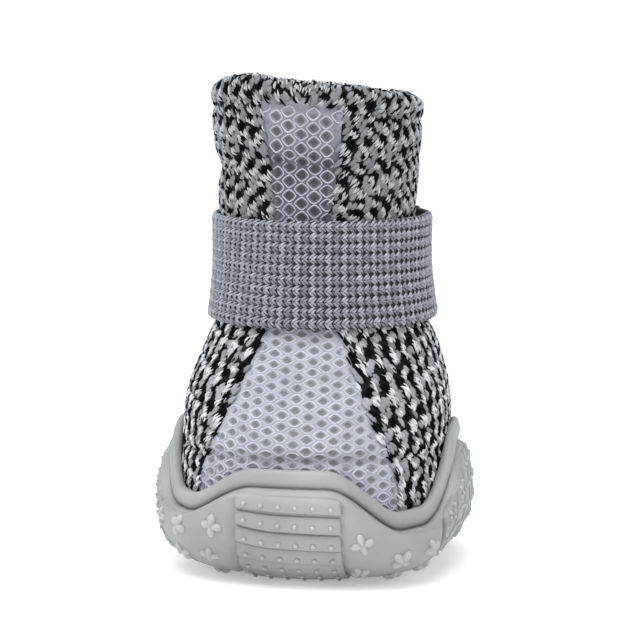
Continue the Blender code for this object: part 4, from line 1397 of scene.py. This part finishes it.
# For each course: kind, share of a block along the course, mm down the yarn, how many yarns,
# length in mm, lowest and highest tone.
COURSES = (
    (
        ("dark", 0.0, 0.0, 5, 2.0, 0.0, 0.5),
        ("pale", 0.0, 1.60, 5, 1.8, 0.5, 1.0),
        ("grey", 0.5, 0.1, 2, 2.5, 0.0, 0.7),
    ),
    (
        ("dark", 0.36, 0.3, 2, 1.9, 0.0, 0.6),
        ("pale", 0.55, 0.5, 4, 1.9, 0.2, 0.9),
        ("grey", 0.0, 0.2, 3, 2.4, 0.2, 0.9),
    ),
    (
        ("dark", -0.20, -0.2, 3, 1.8, 0.0, 0.6),
        ("pale", -0.05, 1.2, 4, 1.7, 0.3, 1.0),
        ("grey", 0.35, 0.2, 3, 2.3, 0.1, 0.9),
    ),
)
yarn_lines = {"grey": [], "dark": [], "pale": []}


def add_block(spot, hand, way, step, groups):
    """The yarns of one repeat at a place on one of the two cloths."""
    for kind, share, down, count, length, dull, bright in groups:
        slope = way * (YARN_LEAN + rng.normal(0, 0.05))
        ahead = np.array([math.cos(slope), math.sin(slope)])
        beside = np.array([-ahead[1], ahead[0]])
        centre = spot + np.array([hand, COURSE_SLOPE]) * share * step
        centre = centre - way * ahead * down * MM + rng.normal(0, 0.15, 2) * MM
        count = max(1, count + rng.integers(-1, 2))
        breadth = YARN_BREADTH[kind]
        for number in range(count):
            place = centre + beside * (number - (count - 1) / 2) * YARN_STEP * breadth
            place = place + ahead * rng.normal(0, 0.30) * MM
            turned = slope + rng.normal(0, 0.06)
            size = length * rng.uniform(0.85, 1.15), breadth * rng.uniform(0.85, 1.12)
            yarn_lines[kind].append((*place, turned, *size, hand, rng.uniform(dull, bright)))


for cloth, hand in ((right_cloth, 1), (left_cloth, -1)):
    for course in range(48):
        for place in range(-17, 18):
            for step in (FOOT_BLOCK, SHAFT_BLOCK):
                out = (place + course * COURSE_SHIFT % 1) * step
                up = cloth.up[-1] + 0.5 * MM - course * COURSE_STEP + COURSE_SLOPE * out
                high = np.interp(up, cloth.up, cloth.points[:, 0, 2])
                if (high > CHANGE_HEIGHT) == (step == SHAFT_BLOCK):
                    way = 1 if (high < CHANGE_HEIGHT) != (hand > 0) else -1
                    add_block(np.array([out * hand, up]), hand, way, step, COURSES[course % 3])
print({kind: len(lines) for kind, lines in yarn_lines.items()})

# %% Laying the yarns
SHADED_SHAFT_TONE = 0.3  # painted shade: how much of their tone the yarns over the strap keep
HEM_LEAN = math.radians(78)


def yarn_places(lines, margin, lift):
    """Points, directions, sizes and tones for yarns given as places on the two cloths."""
    table = np.array(lines)
    blocks = []
    for cloth, turns, hand in ((right_cloth, right_turns, 1), (left_cloth, left_turns, -1)):
        part = table[table[:, 5] == hand]
        keep, height = kept_places(cloth, turns, part[:, 0], part[:, 1], hand, margin)
        part, height = part[keep], height[keep]
        spot, out, right, up = cloth.frames(part[:, 0], part[:, 1])
        hem = soft_step(-3 * MM, 0, height - upper_height(0.0, LIP_LEVEL))
        slope = part[:, 2] + (np.sign(part[:, 2]) * HEM_LEAN - part[:, 2]) * hem
        along = right * np.cos(slope)[:, None] + up * np.sin(slope)[:, None]
        length = part[:, 3] * (1 - 0.32 * hem)
        stretch = np.stack([length, part[:, 4] * (1 + 0.2 * hem), np.ones(len(part))], -1)
        lifts = lift + rng.uniform(-0.04, 0.04, (len(part), 1)) * MM
        # Painted shade: the yarns over the strap are darkened.
        tone = part[:, 6] * np.where(height > STRAP_HIDES[1], SHADED_SHAFT_TONE, 1)
        blocks.append((spot + out * lifts, out, along, stretch, tone))
    return joined(blocks)


def yarn_finish(name, low, high, rough=0.75, sheen=0.15, gloss=0.3):
    """A spun yarn: its own tone, a little sheen, and fibres along it."""
    others = {"Sheen Weight": sheen, "Sheen Roughness": 0.4, "Specular IOR Level": gloss}
    material, tree, shader = plain_shader(name, high, rough, others)
    fibres = noise(tree, 0.14 * MM, 3)
    colour = graded(tree, own_value(tree, "tone"), low, high, 0.0, 1.0)
    colour = blended(tree, 0.25, colour, graded(tree, fibres, low, high))
    fed(tree, shader, {"Base Color": colour})
    raised(tree, shader, fibres, 0.04 * MM, 0.8)
    return material


dark_yarn = yarn_finish("dark_yarn", shade(0.0, 0.0, 0.01), shade(0.07, 0.075, 0.09), 0.9, 0, 0.08)
pale_yarn = yarn_finish("pale_yarn", shade(0.54, 0.55, 0.56), shade(0.90, 0.905, 0.92))
grey_yarn = yarn_finish("grey_yarn", shade(0.37, 0.38, 0.39), shade(0.64, 0.65, 0.67), 0.85, 0.1)
# Columns: kind and finish, angle by which it covers the panel's edge, lift, width and height in
# mm, sides, thickness of its ends as a share, wobble.
YARNS = (
    ("grey", grey_yarn, 0.03, -0.04, 0.50, 0.26, 6, 0.35, 0.05),
    ("dark", dark_yarn, 0.05, 0.03, 0.44, 0.34, 5, 0.30, 0.06),
    ("pale", pale_yarn, 0.05, 0.07, 0.40, 0.36, 5, 0.25, 0.06),
)
knit_yarns = []
for seed, (kind, finish, margin, lift, width, height, sides, tip, wobble) in enumerate(YARNS, 2):
    *places, tones = yarn_places(yarn_lines[kind], margin, lift * MM)
    yarn = yarn_shape(1.0 * MM, width * MM, height * MM, sides=sides, tip=tip)
    knit_yarns.append(lay_on_points("knit_" + kind, yarn, places, finish, wobble, seed, tones))

# %% [markdown]
# The front panel is an open mesh cloth on a grey backing. The backing is a thin closed sheet in
# its own recess, dished and darker at each hole. The open cloth is a net of real threads over
# it, a rounded diamond of thread round each hole, so that two threads run side by side between
# holes. The net is stretched upwards on the shaft, and painted shade darkens it there.

# %% Backing of the panel
PANEL_FACE = -0.42 * MM
PANEL_BACK = -0.95 * MM
PANEL_BOTTOM = 0.030
PANEL_ROWS = 290
PANEL_COLUMNS = 104
# Columns: height in mm, distance between holes across and up the cloth in mm, share of painted
# shade on the cloth.
NET_STEPS = (
    (10, 2.52, 2.20, 0.0),
    (48, 2.52, 2.20, 0.0),
    (64, 2.42, 2.70, 0.95),
    (79, 2.42, 2.70, 1.05),
    (84, 2.42, 2.70, 0.65),
    (91, 2.42, 2.70, 0.25),
)
NET_SLANT = 0.045
HOLE_HALF_WIDTH = 0.37
HOLE_HALF_HEIGHT = 0.325
HOLE_POWER = 1.3
HOLE_DEPTH = 0.26 * MM
panel_levels = np.linspace(PANEL_BOTTOM, PANEL_TOP - 0.004, PANEL_ROWS)


def panel_grid(out):
    """The panel's grid at a distance off the upper's face."""
    half = panel_turn(panel_levels) - 0.35 * MM / (SHAFT_WIDTH / 2)
    turns = half[:, None] * np.linspace(-1, 1, PANEL_COLUMNS + 1)
    levels = np.repeat(panel_levels[:, None], PANEL_COLUMNS + 1, 1)
    return upper_point(turns, levels, out + cloth_rise(turns, levels))


def hole_share(u, v):
    """1 inside the holes and 0 on the threads, at places on the panel."""
    x = u / np.interp(v, panel_up, across_steps)
    y = np.interp(v, panel_up, row_counts) + NET_SLANT * x
    column = np.round(x)
    odd = 0.5 * (column % 2)
    off_x = np.abs(x - column) / HOLE_HALF_WIDTH
    off_y = np.abs(y - np.round(y - odd) - odd) / HOLE_HALF_HEIGHT
    away = (off_x**HOLE_POWER + off_y**HOLE_POWER) ** (1 / HOLE_POWER)
    return 1 - soft_step(0.78, 1.12, away)


panel_face = panel_grid(PANEL_FACE)
panel_middle = panel_face[:, PANEL_COLUMNS // 2]
panel_across = arc_lengths(panel_face, 1)
panel_across = panel_across - panel_across[:, PANEL_COLUMNS // 2][:, None]
panel_up = arc_lengths(panel_middle, 0)
panel_cloth = Cloth(panel_face, panel_across, panel_up)
panel_heights = panel_middle[:, 2] / MM
across_steps, up_steps, painted_shade_rows = (
    np.interp(panel_heights, column_of(NET_STEPS, 0), column_of(NET_STEPS, index))
    for index in (1, 2, 3)
)
across_steps, up_steps = across_steps * MM, up_steps * MM
row_counts = np.concatenate([[0], np.cumsum(np.diff(panel_up) / up_steps[1:])])
print("rows of holes up the panel:", round(float(row_counts[-1])))

# %% Cloth of the panel
# For the cloth in light and the cloth in painted shade: lowest and highest shade of its
# threads, then of its holes.
MESH_SHADES = (
    ((0.62, 0.63, 0.67), (0.74, 0.75, 0.79), (0.42, 0.43, 0.46), (0.53, 0.54, 0.57)),
    ((0.28, 0.29, 0.32), (0.42, 0.43, 0.46), (0.18, 0.185, 0.21), (0.28, 0.29, 0.32)),
)


def mesh_finish():
    """Fine cloth, deeper in tone in its holes, and darkened by painted shade on the shaft."""
    sheen = {"Sheen Weight": 0.2}
    material, tree, shader = plain_shader("panel_mesh_cloth", shade(0.66, 0.67, 0.72), 0.85, sheen)
    fluff = noise(tree, 0.2 * MM, 3)
    colours = []
    for row in MESH_SHADES:
        low, high, hole_low, hole_high = (shade(*colour) for colour in row)
        threads, holes = graded(tree, fluff, low, high), graded(tree, fluff, hole_low, hole_high)
        colours.append(blended(tree, own_value(tree, "hole"), threads, holes))
    patchy_shade = ranged(tree, noise(tree, 5 * MM, 2), 0.6, 1.4)
    # dull is the share of painted shade, in patches: it blends towards the shaded cloth.
    dull = reckoned(tree, "MULTIPLY", own_value(tree, "dim"), patchy_shade)
    fed(tree, shader, {"Base Color": blended(tree, dull, *colours)})
    fine = reckoned(tree, "ADD", ridges(tree, 0.45 * MM, "DIAGONAL"), fluff)
    raised(tree, shader, fine, 0.07 * MM)
    return material


def sheet_faces(rows, columns, first=0):
    """Faces of a thin closed sheet between two grids of the same size."""
    grid = np.arange(rows * columns).reshape(rows, columns) + first
    edge = np.concatenate([grid[0], grid[1:, -1], grid[-1, -2::-1], grid[-2:0:-1, 0]])
    after, count = np.roll(edge, -1), rows * columns
    faces = grid_faces(rows, columns, first=first)
    faces += [face[::-1] for face in grid_faces(rows, columns, first=first + count)]
    return faces + np.stack([after, edge, edge + count, after + count], -1).tolist()


def closed_sheet(name, front, back, finish, across, up):
    """A thin closed piece between two grids, with the cloth's measured places."""
    faces = sheet_faces(*front.shape[:2])
    piece = face_outwards(make_piece(name, [front, back], faces, finish, smooth_angle=60))
    set_places(piece, np.stack([across] * 2), np.stack([up] * 2))
    return piece


panel_ups = np.repeat(panel_up[:, None], PANEL_COLUMNS + 1, 1)
near_edge = np.abs(panel_across[:, -1:]) - np.abs(panel_across)
holes = hole_share(panel_across, panel_ups) * soft_step(0.8 * MM, 1.8 * MM, near_edge)
holes = holes * soft_step(2.2 * MM, 4.2 * MM, panel_up[-1] - panel_ups)
dimpled = panel_face - panel_cloth.normals * (holes * HOLE_DEPTH)[..., None]
sheet = (dimpled, panel_grid(PANEL_BACK), mesh_finish(), panel_across, panel_ups)
mesh_backing = closed_sheet("mesh_cloth", *sheet)
set_values(mesh_backing, "hole", np.stack([holes, holes * 0]))
set_values(mesh_backing, "dim", np.tile(np.repeat(painted_shade_rows, PANEL_COLUMNS + 1), 2))
print("mesh_cloth triangles:", triangles(mesh_backing))

# %% Net of the panel
RING_HALF_WIDTH = 1.46 * MM
RING_HALF_HEIGHT = 0.98 * MM
THREAD_RADIUS = 0.13 * MM


def net_ring():
    """A rounded diamond of thread."""
    around, sides = 16, 5
    angle, turn = angles_round(around)[:, None], angles_round(sides)
    reach = (np.abs(np.cos(angle)) / RING_HALF_WIDTH) ** HOLE_POWER
    reach = reach + (np.abs(np.sin(angle)) / RING_HALF_HEIGHT) ** HOLE_POWER
    ring = reach ** (-1 / HOLE_POWER) + THREAD_RADIUS * np.cos(turn)
    lift = 0.06 * MM * np.cos(4 * angle) + THREAD_RADIUS * np.sin(turn)
    points = np.stack([ring * np.cos(angle), ring * np.sin(angle), lift], -1)
    return small_shape(points, grid_faces(around, sides, wrap_rows=True, wrap_columns=True))


def net_cells():
    """Places of the net's cells across and up the panel, and the panel's row at each."""
    cells = []
    for column in range(-9, 10):
        for row in range(-4, 40):
            v = np.interp(row + 0.5 * (column % 2) - NET_SLANT * column, row_counts, panel_up)
            net_row = np.clip(np.searchsorted(panel_up, v), 0, PANEL_ROWS - 1)
            cells.append((column * np.interp(v, panel_up, across_steps), v, net_row))
    u, v, net_row = np.array(cells).T
    net_row = net_row.astype(int)
    keep = np.abs(u) < panel_across[net_row, -1] - 0.8 * MM
    keep &= (v > 0.6 * MM) & (v < panel_up[-1] - 2.4 * MM)
    keep &= (panel_heights[net_row] > 12.5) & seen_past_strap(panel_heights[net_row] * MM)
    return u[keep], v[keep], net_row[keep]


u, v, net_row = net_cells()
spot, out, right, up = panel_cloth.frames(u, v)
size = np.stack([across_steps[net_row] / (2.52 * MM), up_steps[net_row] / (2.2 * MM)], -1)
size = np.concatenate([size * rng.uniform(0.93, 1.05, size.shape), np.ones((len(u), 1))], 1)
# Painted shade: the threads are darker where the panel takes painted shade.
net_tone = rng.uniform(0.5, 1.0, len(u)) * (1 - 0.6 * painted_shade_rows[net_row])
thread = yarn_finish("net_thread", shade(0.54, 0.55, 0.59), shade(0.80, 0.81, 0.86), 0.7, 0.2)
slant = -NET_SLANT * up_steps[net_row] / across_steps[net_row]
net_places = (spot + out * 0.07 * MM, out, unit(right + up * slant[:, None]), size)
panel_net = lay_on_points("panel_net", net_ring(), net_places, thread, 0.05, 5, net_tone)

# %% [markdown]
# The strap is a wide flat elastic. Its plaited face is rows of small leaves, an upper and a
# lower one that meet in a point, over a dark ground that shows between the rows. The band runs
# once round the shaft, and its free end lies over its start.

# %% Shape of the strap
LAP_EASE = math.radians(30)  # the turn in which it rises over its start
TAIL_START = 0.45  # where its end begins to stand off, as a share of the overlap
STRAP_STEPS = 300
STRAP_EDGE_SOFT = 0.9 * MM
PLAIT_DEPTH = 0.38 * MM  # how much of the thickness the plait takes
strap_runs = np.linspace(0, math.tau + STRAP_OVERLAP, STRAP_STEPS + 1)
strap_heights = np.linspace(0, STRAP_WIDTH, 41)


def strap_point(run, height, stand_off):
    """Points of the strap: angle run from its under end, height up it, distance off the upper."""
    run, height, stand_off = np.broadcast_arrays(run, height, stand_off)
    turn = STRAP_START - run
    place = STRAP_HEIGHT + STRAP_RISE * (1 - np.cos(turn)) / 2 + height
    over = soft_step(math.tau - LAP_EASE, math.tau, run)
    tail = np.maximum(0, ((run - math.tau) / STRAP_OVERLAP - TAIL_START) / (1 - TAIL_START))
    slack = STRAP_SLACK_LOW + (STRAP_SLACK_TOP - STRAP_SLACK_LOW) * height / STRAP_WIDTH
    off = stand_off + over * (STRAP_THICKNESS + GAP) + STRAP_LIFT * tail**2
    off = off + slack * np.maximum(0, np.sin(turn)) ** 2
    spot = upper_point(turn, level_at(place), off)
    return np.stack([spot[..., 0], spot[..., 1], place], -1)


edge_share = np.minimum(strap_heights, STRAP_WIDTH - strap_heights)
edge_drop = 0.35 * MM * (1 - soft_step(0, STRAP_EDGE_SOFT, edge_share))
outer_off = GAP + STRAP_THICKNESS - PLAIT_DEPTH - edge_drop
inner_off = GAP + 0.3 * MM + edge_drop * 0.5
strap_face, strap_inside = (
    strap_point(strap_runs[None, :], strap_heights[:, None], off[:, None])
    for off in (outer_off, inner_off)
)
outer_face, inner_face = strap_face[:, ::-1], strap_inside[:, ::-1]
elastic_dark, elastic_pale = shade(0.15, 0.155, 0.17), shade(0.24, 0.245, 0.265)
elastic = woven_finish("elastic_ground", elastic_dark, elastic_pale, 0.8 * MM)
strap_across = arc_lengths(outer_face, 1)
strap_ups = np.repeat(strap_heights[:, None], STRAP_STEPS + 1, 1)
sheet = (outer_face, inner_face, elastic, strap_across, strap_ups)
strap_body = closed_sheet("strap_body", *sheet)
print("strap_body triangles:", triangles(strap_body), "long, mm:", round(strap_across[0, -1] / MM))

# %% Plait of the strap
PLAIT_ROW = 2.0 * MM
PLAIT_STEP = 1.58 * MM
STRAND_STEP = 0.50 * MM
LEAF_OFFSET = 0.38 * MM  # of the leaves' middles from the middle of their row
LEAF_SLOPE = math.radians(40)
LEAF_LENGTH = 1.72 * MM
LEAF_WIDTH = 0.50 * MM
PLAIT_ROWS = int(STRAP_WIDTH / PLAIT_ROW)


def plait_places(face, rows, first_share, last_share, hand):
    """Leaves in rows on one face of the strap, between two shares of its length."""
    across = arc_lengths(face, 1)
    cloth = Cloth(face, across, strap_heights)
    count = int(across[0, -1] * (last_share - first_share) / PLAIT_STEP)
    stitch = np.arange(count)
    share = first_share + (last_share - first_share) * (stitch + 0.5) / count
    blocks = []
    for row in rows:
        for arm in (1, -1):
            slope = arm * LEAF_SLOPE * hand
            for strand in (-1, 1):
                apart = strand * STRAND_STEP / 2
                v = (row + 0.5) * PLAIT_ROW + arm * LEAF_OFFSET + math.cos(slope) * apart
                u = share * np.interp(v, strap_heights, across[:, -1]) - math.sin(slope) * apart
                spot, out, right, up = cloth.frames(u, np.full(count, v))
                along = right * math.cos(slope) + up * math.sin(slope)
                size = np.ones((count, 3)) * rng.uniform(0.92, 1.08, (count, 1))
                # Painted light: the 0.15 * arm term makes upper leaves lighter and lower leaves darker.
                tone = rng.random(count) * 0.5 + 0.3 * (stitch % 2) + 0.15 * arm
                blocks.append((spot + out * 0.12 * MM, out, along, size, np.clip(tone, 0, 1)))
    return joined(blocks)


low, high = shade(0.33, 0.34, 0.37), shade(0.68, 0.69, 0.73)
elastic_yarn = yarn_finish("elastic_yarn", low, high, 0.42, 0.15, 0.5)
# Columns: name, face, rows, from and to which share of its length, hand, height of a leaf in mm.
PLAITS = (
    ("strap_plait", outer_face, range(PLAIT_ROWS), 0.0, 1.0, 1, 0.46),
    ("strap_inner_plait", strap_inside, range(PLAIT_ROWS - 3, PLAIT_ROWS), 0.22, 0.46, -1, 0.34),
)
strap_plaits = []
for seed, (name, *where, height) in enumerate(PLAITS, 6):
    *places, tones = plait_places(*where)
    leaf = yarn_shape(LEAF_LENGTH, LEAF_WIDTH, height * MM, tip=0.45, sink=0.30)
    strap_plaits.append(lay_on_points(name, leaf, places, elastic_yarn, 0.05, seed, tones))

# %% [markdown]
# The back stay is a strip of suede that holds the slit open. It is two closed halves that meet
# below the slit, with rounded cut edges, a nap, and a row of stitches along each side.

# %% Back stay
STAY_BOTTOM = 0.100
STAY_CLEAR = 0.200  # the level from which it stands free of the rim
STAY_FLAT = (0.40, 0.72)  # levels between which the strap lies over it
STAY_ROWS = 150
STAY_SHARES = np.array([0, 0.04, 0.12, 0.3, 0.5, 0.7, 0.88, 0.96, 1.0])  # from slit to edge
# Columns: share of the lobe's height, share of the strip's width.
LOBE_SHAPE = (
    (0.00, 1.00),
    (0.30, 0.97),
    (0.60, 0.88),
    (0.85, 0.70),
    (1.00, 0.44),
)
lobe_rise = STAY_LOBE / UPPER_RISE
stay_levels = np.linspace(STAY_BOTTOM, 1 + lobe_rise, STAY_ROWS)


def stay_grids(hand):
    """Front and back grids of one half of the strip."""
    width = STAY_WIDTH * smooth_value(LOBE_SHAPE, (stay_levels - 1) / lobe_rise)
    outer = math.pi - turn_at(width / 2, np.minimum(stay_levels, 1), True)
    inner = slit_turn(np.minimum(stay_levels, 1)) + 0.0006
    turns = math.pi - (inner[:, None] + (outer - inner)[:, None] * STAY_SHARES)
    levels = np.repeat(stay_levels[:, None], len(STAY_SHARES), 1)
    low = np.minimum(levels, 1)
    under = soft_window(STAY_FLAT[0] - 0.02, *STAY_FLAT, STAY_FLAT[1] + 0.02, levels)
    proud = soft_step(STAY_CLEAR - 0.02, STAY_CLEAR + 0.01, levels) * (1 - under)
    edge = np.minimum(STAY_SHARES, 1 - STAY_SHARES)
    rounding = 0.4 * MM * (1 - soft_step(0, 0.14, edge)) ** 2
    end = np.minimum(levels - STAY_BOTTOM, 1 + lobe_rise - levels) * UPPER_RISE
    rounding = rounding + 0.3 * MM * (1 - soft_step(0, 0.8 * MM, end)) ** 2
    binding = 0.16 * MM * soft_window(0.74, 0.80, 0.97, 1.0, STAY_SHARES)
    face = 0.42 * MM * proud - 0.05 * MM + binding * proud - rounding
    back = -0.75 * MM + rounding * 0.2
    rise_here = cloth_rise(turns * hand, low)
    grids = []
    for out in (face + rise_here, back + rise_here):
        points = upper_point(turns * hand, low, out)
        points[..., 2] += np.maximum(0, levels - 1) * UPPER_RISE
        grids.append(points)
    return grids


def suede_finish():
    """Napped leather: brushed patches and fine specks."""
    sheen = {"Sheen Weight": 0.5, "Sheen Roughness": 0.5}
    material, tree, shader = plain_shader("pale_suede", shade(0.60, 0.59, 0.58), 0.95, sheen)
    nap, brushed = noise(tree, 0.5 * MM, 5, (1, 1, 0.45)), noise(tree, 4 * MM, 3)
    patches = graded(tree, brushed, shade(0.53, 0.52, 0.51), shade(0.66, 0.65, 0.63))
    specks = graded(tree, nap, shade(0.45, 0.44, 0.43), shade(0.72, 0.71, 0.69))
    fed(tree, shader, {"Base Color": blended(tree, 0.35, patches, specks)})
    raised(tree, shader, nap, 0.10 * MM, 0.8)
    return material


stay_halves = np.array([stay_grids(hand) for hand in (1, -1)])
rows, columns = stay_halves.shape[2:4]
stay_faces = [face for half in (0, 1) for face in sheet_faces(rows, columns, half * 2 * rows * columns)]
stay = make_piece("stay_suede", stay_halves, stay_faces, suede_finish(), smooth_angle=60)
face_outwards(stay)
print("stay_suede triangles:", triangles(stay))

# %% Stitches of the stay
STITCH_STEP = 1.9 * MM


def read_line(at, run, values):
    """Points or directions at distances along a line."""
    return np.stack([np.interp(at, run, values[:, i]) for i in range(3)], -1)


stitch_blocks = []
for hand, (face, _) in zip((1, -1), stay_halves):
    line = face[:, 5] * 0.4 + face[:, 4] * 0.6
    run = arc_lengths(line, 0)
    marks = np.arange(1.2 * MM, run[-1] - 1.5 * MM, STITCH_STEP)
    spot = read_line(marks, run, line)
    out = unit(read_line(marks, run, grid_normals(face)[:, 5] * hand))
    out = out * np.sign(np.sum(out * spot * [1, 1, 0], -1, keepdims=True))
    ahead = unit(read_line(marks + 0.2 * MM, run, line) - spot)
    seen = seen_past_strap(spot[:, 2])
    stitch_blocks.append((spot[seen], out[seen], ahead[seen]))
stitch_places = full_size(joined(stitch_blocks))
stitch = yarn_shape(1.5 * MM, 0.34 * MM, 0.26 * MM, rings=5, sides=6, tip=0.4, sink=0.45)
tones = np.full(len(stitch_places[0]), 0.9)
stay_stitches = lay_on_points("stay_stitches", stitch, stitch_places, grey_yarn, tone=tones)

# %% [markdown]
# Inside lies a thin foam sock. It is a crowned pad here: its rim is low and rounded, its middle
# is pressed down a little at the ball and the heel, and fine cloth covers it.

# %% Insole
insole_low, insole_high = (np.array(corner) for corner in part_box("insole"))
INSOLE_EDGE = CUP_INSET + INNER_CHAMFER_RUN + 0.3 * MM
# Columns: inset from its edge in mm, height over its underside (0) or its top (1), in mm.
INSOLE_RINGS = (
    (4.0, 0, 0.0),
    (1.0, 0, 0.0),
    (0.2, 0, 0.15),
    (0.0, 0, 0.8),
    (-0.2, 1, -0.7),
    (0.3, 1, -0.2),
    (1.2, 1, 0.0),
    (3.0, 1, 0.05),
    (6.0, 1, 0.0),
    (10.0, 1, -0.1),
    (15.0, 1, -0.15),
    (20.0, 1, -0.15),
)
insole_rings = []
for inset, side, over in INSOLE_RINGS:
    height = (insole_low, insole_high)[side][2] + over * MM
    insole_rings.append(outline_ring(angles_round(96), INSOLE_EDGE + inset * MM, height))
insole_rings = np.array(insole_rings)
low, high = shade(0.36, 0.37, 0.39), shade(0.44, 0.45, 0.47)
insole_cloth = woven_finish("insole_cloth", low, high, 0.7 * MM)
insole_pad = ringed_piece("insole_pad", insole_rings, insole_cloth, 60)
set_places(insole_pad, insole_rings[..., 0], insole_rings[..., 1])
print("insole_pad triangles:", triangles(insole_pad))

# %% [markdown]
# Last, every piece is told which body it rides on, and the node of the imported model that it
# stands for is hidden.

# %% Riding, and hiding the replaced nodes
GROUPS = {
    "outsole": (sole_body, sole_ribs, sole_studs, sole_dots, sole_roundel),
    "upper": (upper_wall, *knit_yarns),
    "front_panel": (mesh_backing, panel_net),
    "strap": (strap_body, *strap_plaits),
    "back_stay": (stay, stay_stitches),
    "insole": (insole_pad,),
}
total = 0
for node, pieces in GROUPS.items():
    for piece in pieces:
        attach(piece, "root")
        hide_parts(node)
        total += triangles(piece)
print("pieces:", sum(len(pieces) for pieces in GROUPS.values()), "triangles:", total)
